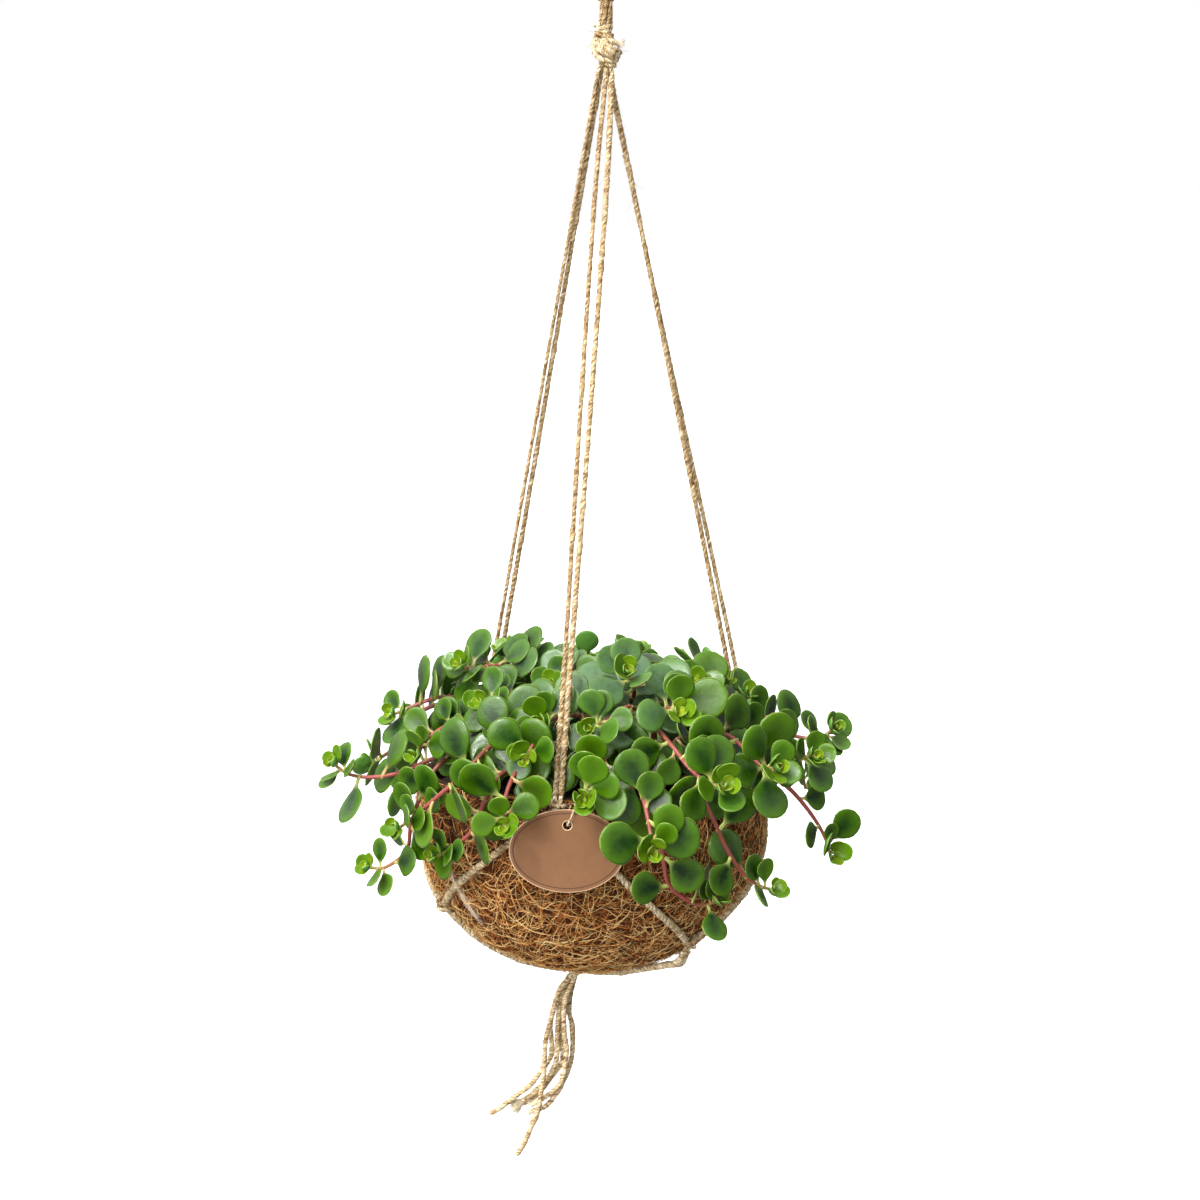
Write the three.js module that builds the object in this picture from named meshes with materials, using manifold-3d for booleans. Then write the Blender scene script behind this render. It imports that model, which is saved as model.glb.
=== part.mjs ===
// A round-leaved trailing succulent in a half-ball coir bowl, hung in a net of six jute strands.
// Millimetres, +Z up, -Y towards the front. The origin is the place in the top loop where a hook bears.
// Azimuths are in degrees from the front, positive towards +X.

import * as THREE from 'three';
import { mergeVertices } from 'three/addons/utils/BufferGeometryUtils.js';
import Module from 'manifold-3d';

const wasm = await Module();
wasm.setup();

// ---- Driving dimensions ----

const GAP = 0.35;                   // clearance between neighbouring pieces
const CORD = 2.8;                   // thickness of one jute strand
const CORD_SIDES = 6;
const TAIL_SIDES = 8;

const BOWL_BASE_Z = -623.5;         // underside of the bowl
const BOWL_HEIGHT = 119;
const BOWL_WIDEST_HEIGHT = 97;
const BOWL_RADIUS = 104.5;
const BOWL_RIM_LEAN = 2.5;          // how far the wall leans in above its widest place
const BOWL_ROUNDNESS = 2.19;        // exponent of the wall's curve in height, 2 is an ellipse
const BOWL_WALL = 7;
const BOWL_FACETS = 26;
const DIMPLE_RADIUS = 18;           // hollow pulled into the underside by the bottom knot
const DIMPLE_DEPTH = 8;

const SOIL_EDGE_Z = -514;
const SOIL_CROWN = 6;               // how much the soil is heaped in the middle
const SOIL_SHRINK = 1.5;            // gap between the soil and the bowl's wall
const HOLE_RADIUS = 4.6;
const HOLE_DEPTH = 6;

const TOP_KNOT_Z = -74;
const HANGER_TOP_Z = -88;           // where the strands leave the top knot
const KNOT_REACH = 6;               // half the size of a rim or side knot
const BOTTOM_KNOT_REACH = 6.5;
const RIM_KNOT_HEIGHT = 115.5;      // above the bowl's underside
const RIM_KNOTS = { front: -10.5, right: 111, left: -139 };
const SIDE_KNOTS = {
  left: { azimuth: -72.6, height: 41, slack: 0 },
  right: { azimuth: 50.5, height: 26.5, slack: 7 },
  back: { azimuth: 166, height: 33, slack: 0 },
};
const KNOT_STAND_OFF = 3.4;         // knot centre to bowl surface
const NET_STAND_OFF = 1.85;         // strand centre to bowl surface
const PAIR_SPACING = 3.4;           // centre to centre where a pair runs together
const SLACK_SHARE = 0.1;            // where along its way a slack strand hangs lowest
const BOTTOM_KNOT = new THREE.Vector3(-6.5, 0, -624);

const TAG_WIDTH = 67;
const TAG_HEIGHT = 48;
const TAG_THICKNESS = 1.2;
const TAG_HOLE = 5;
const TAG_HOLE_UP = 14.8;           // hole centre above the tag's centre
const TAG_PLACE = new THREE.Vector3(-13.3, -115, -531.7);
const TAG_LEAN = 5;                 // degrees, top edge out
const TIE = 1.2;                    // thickness of the tag's twine

const STEM = 3;                     // thickness of a leafy stem
const STEM_SIDES = 4;
const LEAF_LENGTH = 30;             // full-grown leaf with its stalk
const LEAF_THICKNESS = 1.9;
const LEAF_CUP = 0.07;              // depth of the cupped face, as a share of the length
const FIRST_LEAF = 2;               // smaller ones at the very tip are left out
const TIP_LEAVES = 6;               // leaves crowded into the rosette at a stem's tip
const TIP_SIZE = 0.92;              // usual size of a rosette's leaves, against full-grown ones
const LEAF_SPACING = 15;            // along the stem, behind the rosette
const GOLDEN_ANGLE = 137.5;
const LIGHT_PULL = 0.58;            // how far a leaf's axis turns from its stem to the light
const TIP_PULL = 0.74;              // the same for a whole rosette
const LIGHT_LIFT = 0.5;             // how much of the light comes from above
const BARE_BASE = 33;               // length of stem above the soil without leaves
const LEAF_TRIES = 9;
const LEAF_CLEARANCE = 0.45;
const CLEARING_TOP_Z = -390;        // below this no leaf hangs in front of the front strands
const CLEARING_DEPTH = 45;
const SEED = 2394;

// ---- Materials ----

function matte(colour, roughness) {
  return new THREE.MeshStandardMaterial({ color: colour, roughness, metalness: 0 });
}

const jute = matte(0xcbb08a, 0.9);
const coir = matte(0x8a5f38, 0.95);
const earth = matte(0x3a2a1c, 1);
const leafGreen = matte(0x4a8a3c, 0.35);
const card = matte(0xb38a63, 0.8);

// ---- Solids ----

const plant = new THREE.Group();

function addPiece(name, geometry, material) {
  const mesh = new THREE.Mesh(geometry, material);
  mesh.name = name;
  plant.add(mesh);
  return mesh;
}

function toSolid(geometry) {
  const bare = geometry.index ? geometry.toNonIndexed() : geometry.clone();
  bare.deleteAttribute('normal');
  bare.deleteAttribute('uv');
  const welded = mergeVertices(bare, 1e-4);
  const mesh = new wasm.Mesh({
    numProp: 3,
    vertProperties: new Float32Array(welded.attributes.position.array),
    triVerts: new Uint32Array(welded.index.array),
  });
  mesh.merge();
  return new wasm.Manifold(mesh);
}

function toGeometry(solid) {
  const mesh = solid.getMesh();
  const geometry = new THREE.BufferGeometry();
  geometry.setAttribute('position', new THREE.BufferAttribute(mesh.vertProperties, 3));
  geometry.setIndex(new THREE.BufferAttribute(mesh.triVerts, 1));
  geometry.computeVertexNormals();
  return geometry;
}

function fuse(solids) {
  const whole = solids.reduce((sum, solid) => sum.add(solid)).simplify(0.05);
  const bodies = whole.decompose();
  return bodies.reduce((best, body) => (body.volume() > best.volume() ? body : best));
}

function roundSection(radius, sides) {
  const section = new THREE.Shape();
  for (let i = 0; i < sides; i++) {
    const turn = (2 * Math.PI * i) / sides;
    const x = radius * Math.cos(turn);
    const y = radius * Math.sin(turn);
    if (i === 0) section.moveTo(x, y);
    else section.lineTo(x, y);
  }
  section.closePath();
  return section;
}

function smoothCurve(points) {
  return new THREE.CatmullRomCurve3(points, false, 'catmullrom', 0.5);
}

function tube(points, thickness, sides, step) {
  const path = smoothCurve(points);
  const steps = Math.max(2, Math.round(path.getLength() / step));
  const options = { steps, bevelEnabled: false, extrudePath: path };
  return new THREE.ExtrudeGeometry(roundSection(thickness / 2, sides), options);
}

function ring(centre, radius, thickness, tilt, turn) {
  const geometry = new THREE.TorusGeometry(radius, thickness / 2, 4, 8);
  geometry.rotateX(THREE.MathUtils.degToRad(tilt));
  geometry.rotateZ(THREE.MathUtils.degToRad(turn));
  geometry.translate(centre.x, centre.y, centre.z);
  return toSolid(geometry);
}

function ball(centre, radius, height) {
  const geometry = new THREE.SphereGeometry(1, 7, 4);
  geometry.rotateX(Math.PI / 2);
  geometry.scale(radius, radius, height / 2);
  geometry.translate(centre.x, centre.y, centre.z);
  return toSolid(geometry);
}

// ---- Places ----

function at(x, y, z) {
  return new THREE.Vector3(x, y, z);
}

function polar(azimuth, radius, z) {
  const turn = THREE.MathUtils.degToRad(azimuth);
  return at(radius * Math.sin(turn), -radius * Math.cos(turn), z);
}

// Radius of the bowl's outer wall at a height above its underside.
function bowlRadius(height) {
  if (height >= BOWL_WIDEST_HEIGHT) {
    const share = (height - BOWL_WIDEST_HEIGHT) / (BOWL_HEIGHT - BOWL_WIDEST_HEIGHT);
    return BOWL_RADIUS - BOWL_RIM_LEAN * share * share;
  }
  const rise = 1 - Math.max(0, height) / BOWL_WIDEST_HEIGHT;
  return BOWL_RADIUS * Math.sqrt(1 - Math.pow(rise, BOWL_ROUNDNESS));
}

// Height of the underside at a radius, the same curve read the other way.
function bowlHeight(radius) {
  const share = Math.min(1, radius / BOWL_RADIUS);
  return BOWL_WIDEST_HEIGHT * (1 - Math.pow(1 - share * share, 1 / BOWL_ROUNDNESS));
}

// A place this far out from the wall, square to it, at a height above the underside.
function offWall(azimuth, height, standOff) {
  const lean = bowlRadius(height + 0.5) - bowlRadius(height - 0.5);
  const size = Math.hypot(1, lean);
  const z = BOWL_BASE_Z + height - (standOff * lean) / size;
  return polar(azimuth, bowlRadius(height) + standOff / size, z);
}

// The same below the underside, at a radius.
function offUnderside(azimuth, radius, standOff) {
  const rise = bowlHeight(radius + 0.5) - bowlHeight(radius - 0.5);
  const size = Math.hypot(1, rise);
  const z = BOWL_BASE_Z + bowlHeight(radius) - standOff / size;
  return polar(azimuth, radius + (standOff * rise) / size, z);
}

function rimKnotCentre(name) {
  const radius = bowlRadius(RIM_KNOT_HEIGHT) + KNOT_STAND_OFF;
  return polar(RIM_KNOTS[name], radius, BOWL_BASE_Z + RIM_KNOT_HEIGHT);
}

function sideKnotCentre(name) {
  const { azimuth, height } = SIDE_KNOTS[name];
  return polar(azimuth, bowlRadius(height) + KNOT_STAND_OFF, BOWL_BASE_Z + height);
}

// The stretch of a route that lies clear of the knots at its two ends.
function between(points, start, startReach, end, endReach) {
  const fine = smoothCurve(points).getSpacedPoints(160);
  const clear = fine.filter((p) => p.distanceTo(start) > startReach && p.distanceTo(end) > endReach);
  const picks = 8;
  return Array.from({ length: picks + 1 }, (_, i) => clear[Math.round((i * (clear.length - 1)) / picks)]);
}

// ---- Bowl and soil ----

function bowlOuterProfile() {
  const profile = [];
  for (let i = 0; i <= 3; i++) {
    const share = i / 3;
    const radius = DIMPLE_RADIUS * share;
    const lift = DIMPLE_DEPTH * (0.5 + 0.5 * Math.cos(Math.PI * share));
    profile.push(new THREE.Vector2(radius, BOWL_BASE_Z + Math.max(lift, bowlHeight(radius))));
  }
  const rows = 7;
  const start = Math.asin(DIMPLE_RADIUS / BOWL_RADIUS);
  for (let i = 1; i <= rows; i++) {
    const turn = start + ((Math.PI / 2 - start) * i) / rows;
    const radius = BOWL_RADIUS * Math.sin(turn);
    profile.push(new THREE.Vector2(radius, BOWL_BASE_Z + bowlHeight(radius)));
  }
  profile.push(new THREE.Vector2(bowlRadius(BOWL_HEIGHT - 3), BOWL_BASE_Z + BOWL_HEIGHT - 3));
  profile.push(new THREE.Vector2(bowlRadius(BOWL_HEIGHT) - 2.5, BOWL_BASE_Z + BOWL_HEIGHT));
  return profile;
}

// Points down the inside, kept this far in from the outer wall.
function insideProfile(inset, topZ) {
  const profile = [new THREE.Vector2(bowlRadius(topZ - BOWL_BASE_Z) - inset, topZ)];
  const rows = 4;
  const widest = BOWL_RADIUS - inset;
  const depth = BOWL_WIDEST_HEIGHT - inset - DIMPLE_DEPTH * 0.6;
  for (let i = 0; i < rows; i++) {
    const turn = (Math.PI / 2) * (1 - i / rows);
    const radius = widest * Math.sin(turn);
    const drop = depth * Math.pow(Math.cos(turn), 2 / BOWL_ROUNDNESS);
    profile.push(new THREE.Vector2(radius, BOWL_BASE_Z + BOWL_WIDEST_HEIGHT - drop));
  }
  profile.push(new THREE.Vector2(0, BOWL_BASE_Z + BOWL_WIDEST_HEIGHT - depth));
  return profile;
}

function lathe(profile, facets) {
  const geometry = new THREE.LatheGeometry(profile, facets);
  geometry.rotateX(Math.PI / 2);
  return toSolid(geometry);
}

// The bowl without its hollow, grown by a margin, to press soft knots against.
function filledBowl(margin) {
  const profile = bowlOuterProfile();
  profile.forEach((p, i) => {
    if (p.x > DIMPLE_RADIUS) p.x += margin;
    p.y += i < profile.length - 2 ? -margin : margin;
  });
  profile.push(new THREE.Vector2(0, profile[profile.length - 1].y));
  return lathe(profile, BOWL_FACETS);
}

function makeBowl() {
  const rimTop = BOWL_BASE_Z + BOWL_HEIGHT;
  const inside = insideProfile(BOWL_WALL, rimTop - 2);
  const solid = lathe([...bowlOuterProfile(), ...inside], BOWL_FACETS);
  addPiece('coir_bowl', toGeometry(solid), coir);
}

function soilTop(radius) {
  const share = radius / (BOWL_RADIUS - BOWL_WALL);
  return SOIL_EDGE_Z + SOIL_CROWN * (1 - share * share);
}

function makeSoil(stemBases) {
  const profile = insideProfile(BOWL_WALL + SOIL_SHRINK, SOIL_EDGE_Z).reverse();
  profile.push(new THREE.Vector2(60, soilTop(60)), new THREE.Vector2(0, soilTop(0)));
  let solid = lathe(profile, 16);
  for (const base of stemBases) {
    const hole = new THREE.CylinderGeometry(HOLE_RADIUS, HOLE_RADIUS, 40, 4);
    hole.rotateX(Math.PI / 2);
    hole.translate(base.x, base.y, holeFloor(base) + 20);
    solid = solid.subtract(toSolid(hole));
  }
  addPiece('soil', toGeometry(solid), earth);
}

function holeFloor(base) {
  return soilTop(Math.hypot(base.x, base.y)) - HOLE_DEPTH;
}

// ---- Hanger ----

function makeTopKnot() {
  const centre = at(0, 0, TOP_KNOT_Z);
  const knot = fuse([
    ball(centre, 6.4, 25),
    ring(at(-0.3, 0, TOP_KNOT_Z + 8.5), 4, 4.4, -8, 40),
    ring(at(0.2, 0, TOP_KNOT_Z), 5.6, 4.6, 22, 35),
    ring(at(0.4, 0, TOP_KNOT_Z - 8), 3.2, 4, 8, 10),
  ]);
  addPiece('top_knot', toGeometry(knot), jute);
}

function makeHangingLoop() {
  const half = 2.9;
  const collarZ = -38;
  const loop = [
    at(-2, 0, collarZ - 6), at(-5, 0, -30), at(-10, 0, -20), at(-10.5, 0, -9), at(-6, 0, 0),
    at(0, 0, half), at(6, 0, 0), at(10.5, 0, -9), at(10, 0, -20), at(5, 0, -30), at(2, 0, collarZ - 6),
  ];
  const bundle = [at(0, 0, TOP_KNOT_Z + 13.3), at(0.3, 0, -52), at(0, 0, collarZ - 2)];
  const solid = fuse([
    toSolid(tube(loop, 2 * half, 7, 9)),
    toSolid(tube(bundle, 8.4, 8, 12)),
    ring(at(0, 0, collarZ - 1.5), 3.9, 4.4, 6, 15),
  ]);
  addPiece('hanging_loop', toGeometry(solid), jute);
}

function makeKnot(name, centre, reach) {
  const wrap = CORD * 1.05;
  const radius = reach - wrap / 2 - 0.1;
  const knot = fuse([
    ball(centre, reach * 0.8, reach * 1.95),
    ring(centre, radius, wrap, 24, 30),
  ]);
  addPiece(name, toGeometry(knot.subtract(filledBowl(GAP))), jute);
}

// Each pair has its place at the top knot, the azimuth in which its strands stand apart, first up there and
// then at the rim, and how far apart they are, first high up and then low down.
const PAIRS = {
  front: { top: at(2.6, -3.6, HANGER_TOP_Z), azimuths: [90, 90], apart: [8.8, 2.4] },
  right: { top: at(2.8, 1.2, HANGER_TOP_Z), azimuths: [198, 114], apart: [3.4, 7] },
  left: { top: at(-3.2, 1.6, HANGER_TOP_Z), azimuths: [150, 92], apart: [3.8, 4.6] },
};

// One strand of a pair, from the top knot to a rim knot.
function hangerRoute(name, side) {
  const { top, azimuths, apart } = PAIRS[name];
  const knot = rimKnotCentre(name);
  const end = knot.clone().lerp(top, (KNOT_REACH + GAP) / knot.distanceTo(top));
  const steps = 8;
  return Array.from({ length: steps + 1 }, (_, i) => {
    const share = i / steps;
    const widest = THREE.MathUtils.lerp(apart[0], apart[1], share);
    const width = PAIR_SPACING + (widest - PAIR_SPACING) * Math.sqrt(Math.max(0, Math.sin(Math.PI * share)));
    const spread = polar(THREE.MathUtils.lerp(azimuths[0], azimuths[1], share), (side * width) / 2, 0);
    return top.clone().lerp(end, share).add(spread);
  });
}

function makeHangers() {
  for (const name of Object.keys(PAIRS)) {
    makeKnot(`rim_knot_${name}`, rimKnotCentre(name), KNOT_REACH);
    for (const [letter, side] of [['a', -1], ['b', 1]]) {
      const strand = tube(hangerRoute(name, side), CORD, CORD_SIDES, 90);
      addPiece(`hanger_${name}_${letter}`, strand, jute);
    }
  }
}

// ---- Net round the bowl ----

// Each strand dips below the straight slant as it hugs the narrowing bowl.
const NET = [
  { rim: 'front', side: 'left', dip: 6.5 }, { rim: 'front', side: 'right', dip: 12.5 },
  { rim: 'right', side: 'right', dip: 9 }, { rim: 'right', side: 'back', dip: 8 },
  { rim: 'left', side: 'back', dip: 8 }, { rim: 'left', side: 'left', dip: 7 },
];

function nearTurn(from, to) {
  return to + 360 * Math.round((from - to) / 360);
}

function netRoute({ rim, side, dip }) {
  const target = SIDE_KNOTS[side];
  const endAzimuth = nearTurn(RIM_KNOTS[rim], target.azimuth);
  const steps = 10;
  const points = Array.from({ length: steps + 1 }, (_, i) => {
    const share = i / steps;
    const slant = THREE.MathUtils.lerp(RIM_KNOT_HEIGHT, target.height, share);
    const height = slant - dip * Math.sin(Math.PI * share);
    const azimuth = THREE.MathUtils.lerp(RIM_KNOTS[rim], endAzimuth, share);
    const standOff = NET_STAND_OFF + (KNOT_STAND_OFF - NET_STAND_OFF) * Math.pow(2 * share - 1, 4);
    return offWall(azimuth, height, standOff);
  });
  return between(points, rimKnotCentre(rim), KNOT_REACH + GAP, sideKnotCentre(side), KNOT_REACH + GAP);
}

// Two strands from each side knot run side by side, straight as seen from below, to the bottom knot. Where
// they are slack they leave their knot a little away from the bowl and then come to lie against it.
function underRoute(side, lane) {
  const knot = sideKnotCentre(side);
  const { azimuth, slack } = SIDE_KNOTS[side];
  const across = polar(azimuth + 90, (lane * PAIR_SPACING) / 2, 0);
  const steps = 8;
  const points = Array.from({ length: steps + 1 }, (_, i) => {
    const share = i / steps;
    const plan = knot.clone().lerp(BOTTOM_KNOT, share).add(across);
    const turn = THREE.MathUtils.radToDeg(Math.atan2(plan.x, -plan.y));
    const fall = share / SLACK_SHARE;
    const hang = NET_STAND_OFF + slack * fall * Math.exp(1 - fall);
    return offUnderside(turn, Math.hypot(plan.x, plan.y), hang);
  });
  points[0] = knot.clone().add(across);
  const reach = BOTTOM_KNOT_REACH + GAP + 0.4;
  return between(points, knot, KNOT_REACH + GAP + 0.1, BOTTOM_KNOT, reach);
}

function makeNet() {
  for (const name of Object.keys(SIDE_KNOTS)) makeKnot(`side_knot_${name}`, sideKnotCentre(name), KNOT_REACH);
  NET.forEach((piece, i) => {
    addPiece(`net_${i + 1}`, tube(netRoute(piece), CORD, CORD_SIDES, 16), jute);
  });
  let count = 0;
  for (const side of Object.keys(SIDE_KNOTS)) {
    for (const lane of [-1, 1]) {
      count += 1;
      addPiece(`under_${count}`, tube(underRoute(side, lane), CORD, CORD_SIDES, 14), jute);
    }
  }
  makeKnot('bottom_knot', BOTTOM_KNOT, BOTTOM_KNOT_REACH);
}

// ---- Loose tails ----

const TAILS = [
  [[-11.3, -3.3, -630.8], [-17.4, -4.2, -638.7], [-20.5, -5, -650.4], [-23.9, -5.6, -663.3],
    [-25.3, -6, -671.9], [-25.5, -6, -683.1], [-25.8, -5.8, -691.8], [-27.1, -5.4, -700.6],
    [-28.7, -5, -712], [-32.8, -4.6, -722.7], [-36.3, -4.2, -732.3], [-40.9, -4, -740.5]],
  [[-11.3, 3.3, -630.8], [-18.6, 3, -644.1], [-22.3, 2.6, -659.6], [-21.7, 2.2, -668.8], [-21.1, 1.6, -677.3],
    [-22.8, 1, -682.8], [-28.3, 0, -690.2], [-33.7, -0.4, -698.3], [-41.1, -0.4, -704],
    [-52.2, 0, -713.1], [-57.9, 0, -716.3]],
  [[-11.3, 0, -630.8], [-16.4, -1, -646.9], [-17.8, -1.4, -658.6], [-18.1, -1.6, -669.7],
    [-18.1, -1.6, -680.3], [-20.4, -0.6, -688], [-24.4, 1, -695.9], [-28.6, 2.6, -700.8],
    [-33.4, 3.4, -705.4], [-38.9, 4, -709.4]],
  [[-8.1, 0, -630.8], [-12.2, 2, -645.6], [-14.9, 2.4, -655.7], [-15.6, 2.2, -666.8], [-14.5, 2.2, -678],
    [-15.3, 2.6, -684.9], [-19, 3.6, -690.9], [-24.4, 4.8, -698.8], [-29.2, 6, -704.8],
    [-34.7, 7, -710.1], [-40.1, 7.4, -712.2]],
  [[-8.1, -3.3, -630.8], [-13.8, -4.4, -645.4], [-13.8, -3.4, -663], [-12.2, -2.6, -676.2],
    [-13.4, -2, -686.9], [-15.5, -1.4, -696.4], [-20.6, -0.6, -702.3], [-27.9, 0, -707.6],
    [-32.1, 0.4, -710.3]],
  [[-8.1, 3.3, -630.8], [-10.3, 4.6, -642.4], [-11.1, 5.2, -653.1], [-9.2, 5, -661.7], [-8.6, 4.4, -672.8],
    [-9.3, 4, -682.7], [-11.5, 3.4, -690.7], [-15.1, 2.8, -698.7], [-18.7, 2, -704.8],
    [-24.2, 1.4, -711.6], [-32.9, 1, -715.1]],
];

function makeTails() {
  TAILS.forEach((route, i) => {
    const points = route.map((p) => at(...p));
    addPiece(`tail_${i + 1}`, tube(points, CORD, TAIL_SIDES, 8.3), jute);
  });
}

// ---- Tag ----

function tagFrame() {
  const turn = new THREE.Euler(THREE.MathUtils.degToRad(90 - TAG_LEAN), 0, 0);
  return new THREE.Matrix4().makeRotationFromEuler(turn).setPosition(TAG_PLACE);
}

function makeTag() {
  const outline = new THREE.Shape();
  outline.absellipse(0, 0, TAG_WIDTH / 2, TAG_HEIGHT / 2, 0, 2 * Math.PI);
  const hole = new THREE.Path();
  hole.absarc(0, TAG_HOLE_UP, TAG_HOLE / 2, 0, 2 * Math.PI, true);
  outline.holes.push(hole);
  const options = { depth: TAG_THICKNESS, bevelEnabled: false, curveSegments: 14 };
  const solid = toSolid(new THREE.ExtrudeGeometry(outline, options)).simplify(0.05);
  addPiece('tag', toGeometry(solid).applyMatrix4(tagFrame()), card);
}

// The twine comes from the front rim knot, passes the hole from behind and goes back over the top edge.
function tieRoute() {
  const local = [
    [1.5, 26, -4.4], [0.6, 22, -3.6], [0, 18, -2.4], [0, TAG_HOLE_UP, 0.6], [0.8, 17, 2.6],
    [2.6, 21, 2.6], [4, 24.6, 2.2], [4.4, 26.4, 0], [4, 27, -3],
  ];
  return local.map((p) => at(...p).applyMatrix4(tagFrame()));
}

function makeTagTie() {
  addPiece('tag_tie', tube(tieRoute(), TIE, 5, 3.2), jute);
}

// ---- Leafy stems ----

// Each stem climbs from its base in the soil and ends in a rosette. The second route is a side branch.
// lift is how much of each branch's light comes from above. tip and size are those of the rosette's leaves
// and of the others, against full-grown ones, and spacing lies between the others.
const SHOOTS = [
  { name: 'far_left', base: [-48, -14], tip: 0.76, routes: [
    [[-58, -20, -476], [-83, -38, -489], [-95, -40, -492], [-111, -36, -500], [-128, -30, -505],
      [-144, -24, -505], [-155, -20, -499]],
    [[-58, -8, -474], [-76, 0, -463], [-92, 2, -461], [-109, 2, -467], [-121, -2, -472]]] },
  { name: 'low_left', base: [-56, -32], tip: 0.78, size: 0.85, routes: [
    [[-64, -40, -484], [-80, -54, -484], [-96, -66, -500], [-105, -69, -525], [-108, -63, -543],
      [-121, -54, -555], [-131, -50, -556]],
    [[-64, -34, -478], [-82, -46, -470], [-97, -52, -478], [-104, -52, -490]]] },
  { name: 'long_left', base: [-30, -52], tip: 0.78, routes: [
    [[-36, -62, -484], [-55, -84, -474], [-75, -98, -492], [-87, -96, -503], [-102, -84, -518],
      [-113, -76, -528]],
    [[-38, -72, -496], [-52, -100, -490], [-61, -108, -504], [-67, -103, -521], [-78, -93, -534],
      [-91, -84, -543]]] },
  { name: 'front_left', base: [-26, -72], tip: 0.82, routes: [
    [[-32, -84, -488], [-42, -100, -487], [-48, -113, -497], [-50, -122, -508], [-49, -129, -517]],
    [[-26, -78, -478], [-30, -90, -470], [-35, -102, -474], [-38, -110, -481]]] },
  { name: 'top_left', base: [-12, 2], tip: 0.82, routes: [
    [[-14, 4, -468], [-26, 2, -449], [-40, -4, -443], [-54, -10, -439], [-69, -17, -440],
      [-80, -24, -439]],
    [[-16, -8, -474], [-32, -26, -459], [-50, -42, -454], [-66, -52, -457]]], lift: [1, 0.8] },
  { name: 'crest_left', base: [-16, 28], tip: 0.85, size: 0.85, routes: [
    [[-20, 32, -472], [-36, 40, -454], [-47, 44, -445], [-58, 48, -440]]], lift: [2.4, 2.4] },
  { name: 'front_mid', base: [32, -42], routes: [
    [[32, -52, -468], [22, -76, -453], [8, -88, -459], [-2, -97, -464]],
    [[22, -50, -472], [0, -62, -462], [-18, -74, -460], [-32, -88, -464]]] },
  { name: 'crest_mid', base: [6, 14], tip: 0.82, size: 0.9, routes: [
    [[8, 17, -465], [14, 24, -446], [21, 26, -439], [26, 27, -434]],
    [[2, 6, -468], [-6, -12, -453], [-16, -30, -448], [-26, -44, -448]]], lift: [2.6, 1] },
  { name: 'top_right', base: [50, -8], routes: [
    [[56, -14, -476], [62, -25, -460], [60, -32, -451], [57, -39, -443]],
    [[56, 0, -476], [70, 8, -463], [82, 8, -458], [93, 4, -458]]], lift: [0.8, 1.2] },
  { name: 'front_right', base: [36, -60], tip: 1.05, routes: [
    [[36, -74, -468], [46, -98, -472], [57, -108, -484], [68, -114, -491], [77, -121, -492]],
    [[50, -62, -474], [76, -62, -470], [90, -72, -478], [99, -80, -486], [107, -87, -486]]] },
  { name: 'low_front', base: [12, -78], tip: 1.05, routes: [
    [[16, -90, -486], [24, -108, -488], [30, -120, -500], [34, -128, -516], [36, -134, -529]],
    [[8, -90, -484], [2, -106, -484], [-2, -118, -491], [-5, -126, -500]]] },
  { name: 'bottom_right', base: [28, -80], tip: 0.76, size: 0.85, spacing: 19, routes: [
    [[32, -94, -494], [38, -111, -506], [41, -113, -524], [43, -111, -540], [46, -108, -552],
      [57, -102, -562], [67, -96, -566], [77, -93, -561]]] },
  { name: 'low_right', base: [50, -68], tip: 0.78, size: 0.95, spacing: 18, routes: [
    [[54, -78, -494], [64, -92, -502], [72, -97, -517], [79, -95, -532], [89, -87, -548],
      [100, -81, -557], [108, -79, -559]]] },
  { name: 'far_low_right', base: [70, -34], tip: 0.82, size: 0.74, spacing: 21, routes: [
    [[80, -40, -492], [93, -46, -491], [107, -50, -497], [119, -49, -506], [132, -45, -522],
      [140, -43, -536], [143, -45, -547]]] },
  { name: 'far_right', base: [70, -8], tip: 0.76, size: 0.88, routes: [
    [[78, -4, -478], [92, -2, -471], [110, -5, -476], [126, -8, -480], [137, -11, -479],
      [145, -13, -473]],
    [[82, -16, -484], [101, -27, -480], [115, -34, -485], [125, -41, -487], [132, -48, -485]]] },
  { name: 'top_front', base: [10, -22], tip: 1, routes: [
    [[18, -28, -466], [24, -44, -451], [23, -58, -442], [20, -71, -434]],
    [[18, -32, -472], [34, -52, -460], [44, -72, -454], [50, -88, -454]]], lift: [0.9, 0.6], size: 1.1 },
];

// Behind, where the picture doesn't reach, stems fan out evenly and arch over the rim in turn.
const BACK_AZIMUTHS = [99, 126, 149, 172, 196, 238, 264];
const BACK_ARCH = [[70, -478], [88, -466], [108, -474], [121, -494]];
const BACK_TIPS = [[132, -516], [134, -534], [128, -512], [133, -548], [131, -526], [136, -538], [134, -508]];
const BACK_CROWN = [[58, -474], [66, -459], [76, -451], [90, -449]];
const BACK_CROWN_TURN = 12;         // the upright branch leans this many degrees to one side

function backShoot(azimuth, i) {
  const base = polar(azimuth, 52, 0);
  const tip = BACK_TIPS[i];
  const [lastRadius, lastZ] = BACK_ARCH[BACK_ARCH.length - 1];
  const below = [(lastRadius + tip[0]) / 2 + 2, (lastZ + tip[1]) / 2];
  const arch = [...BACK_ARCH, below, tip].map(([radius, z]) => polar(azimuth, radius, z).toArray());
  const lift = 6 * Math.sin(2.2 * i);
  const crown = BACK_CROWN.map(([radius, z], k) => {
    const inward = radius * (k < 1 ? 1 : 0.88);
    return polar(azimuth - (BACK_CROWN_TURN * k) / 3, inward, z + (lift * k) / 3).toArray();
  });
  return { name: `back_${i + 1}`, base: [base.x, base.y], routes: [arch, crown], lift: [0.6, 2.4], tip: 0.8 };
}

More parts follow.
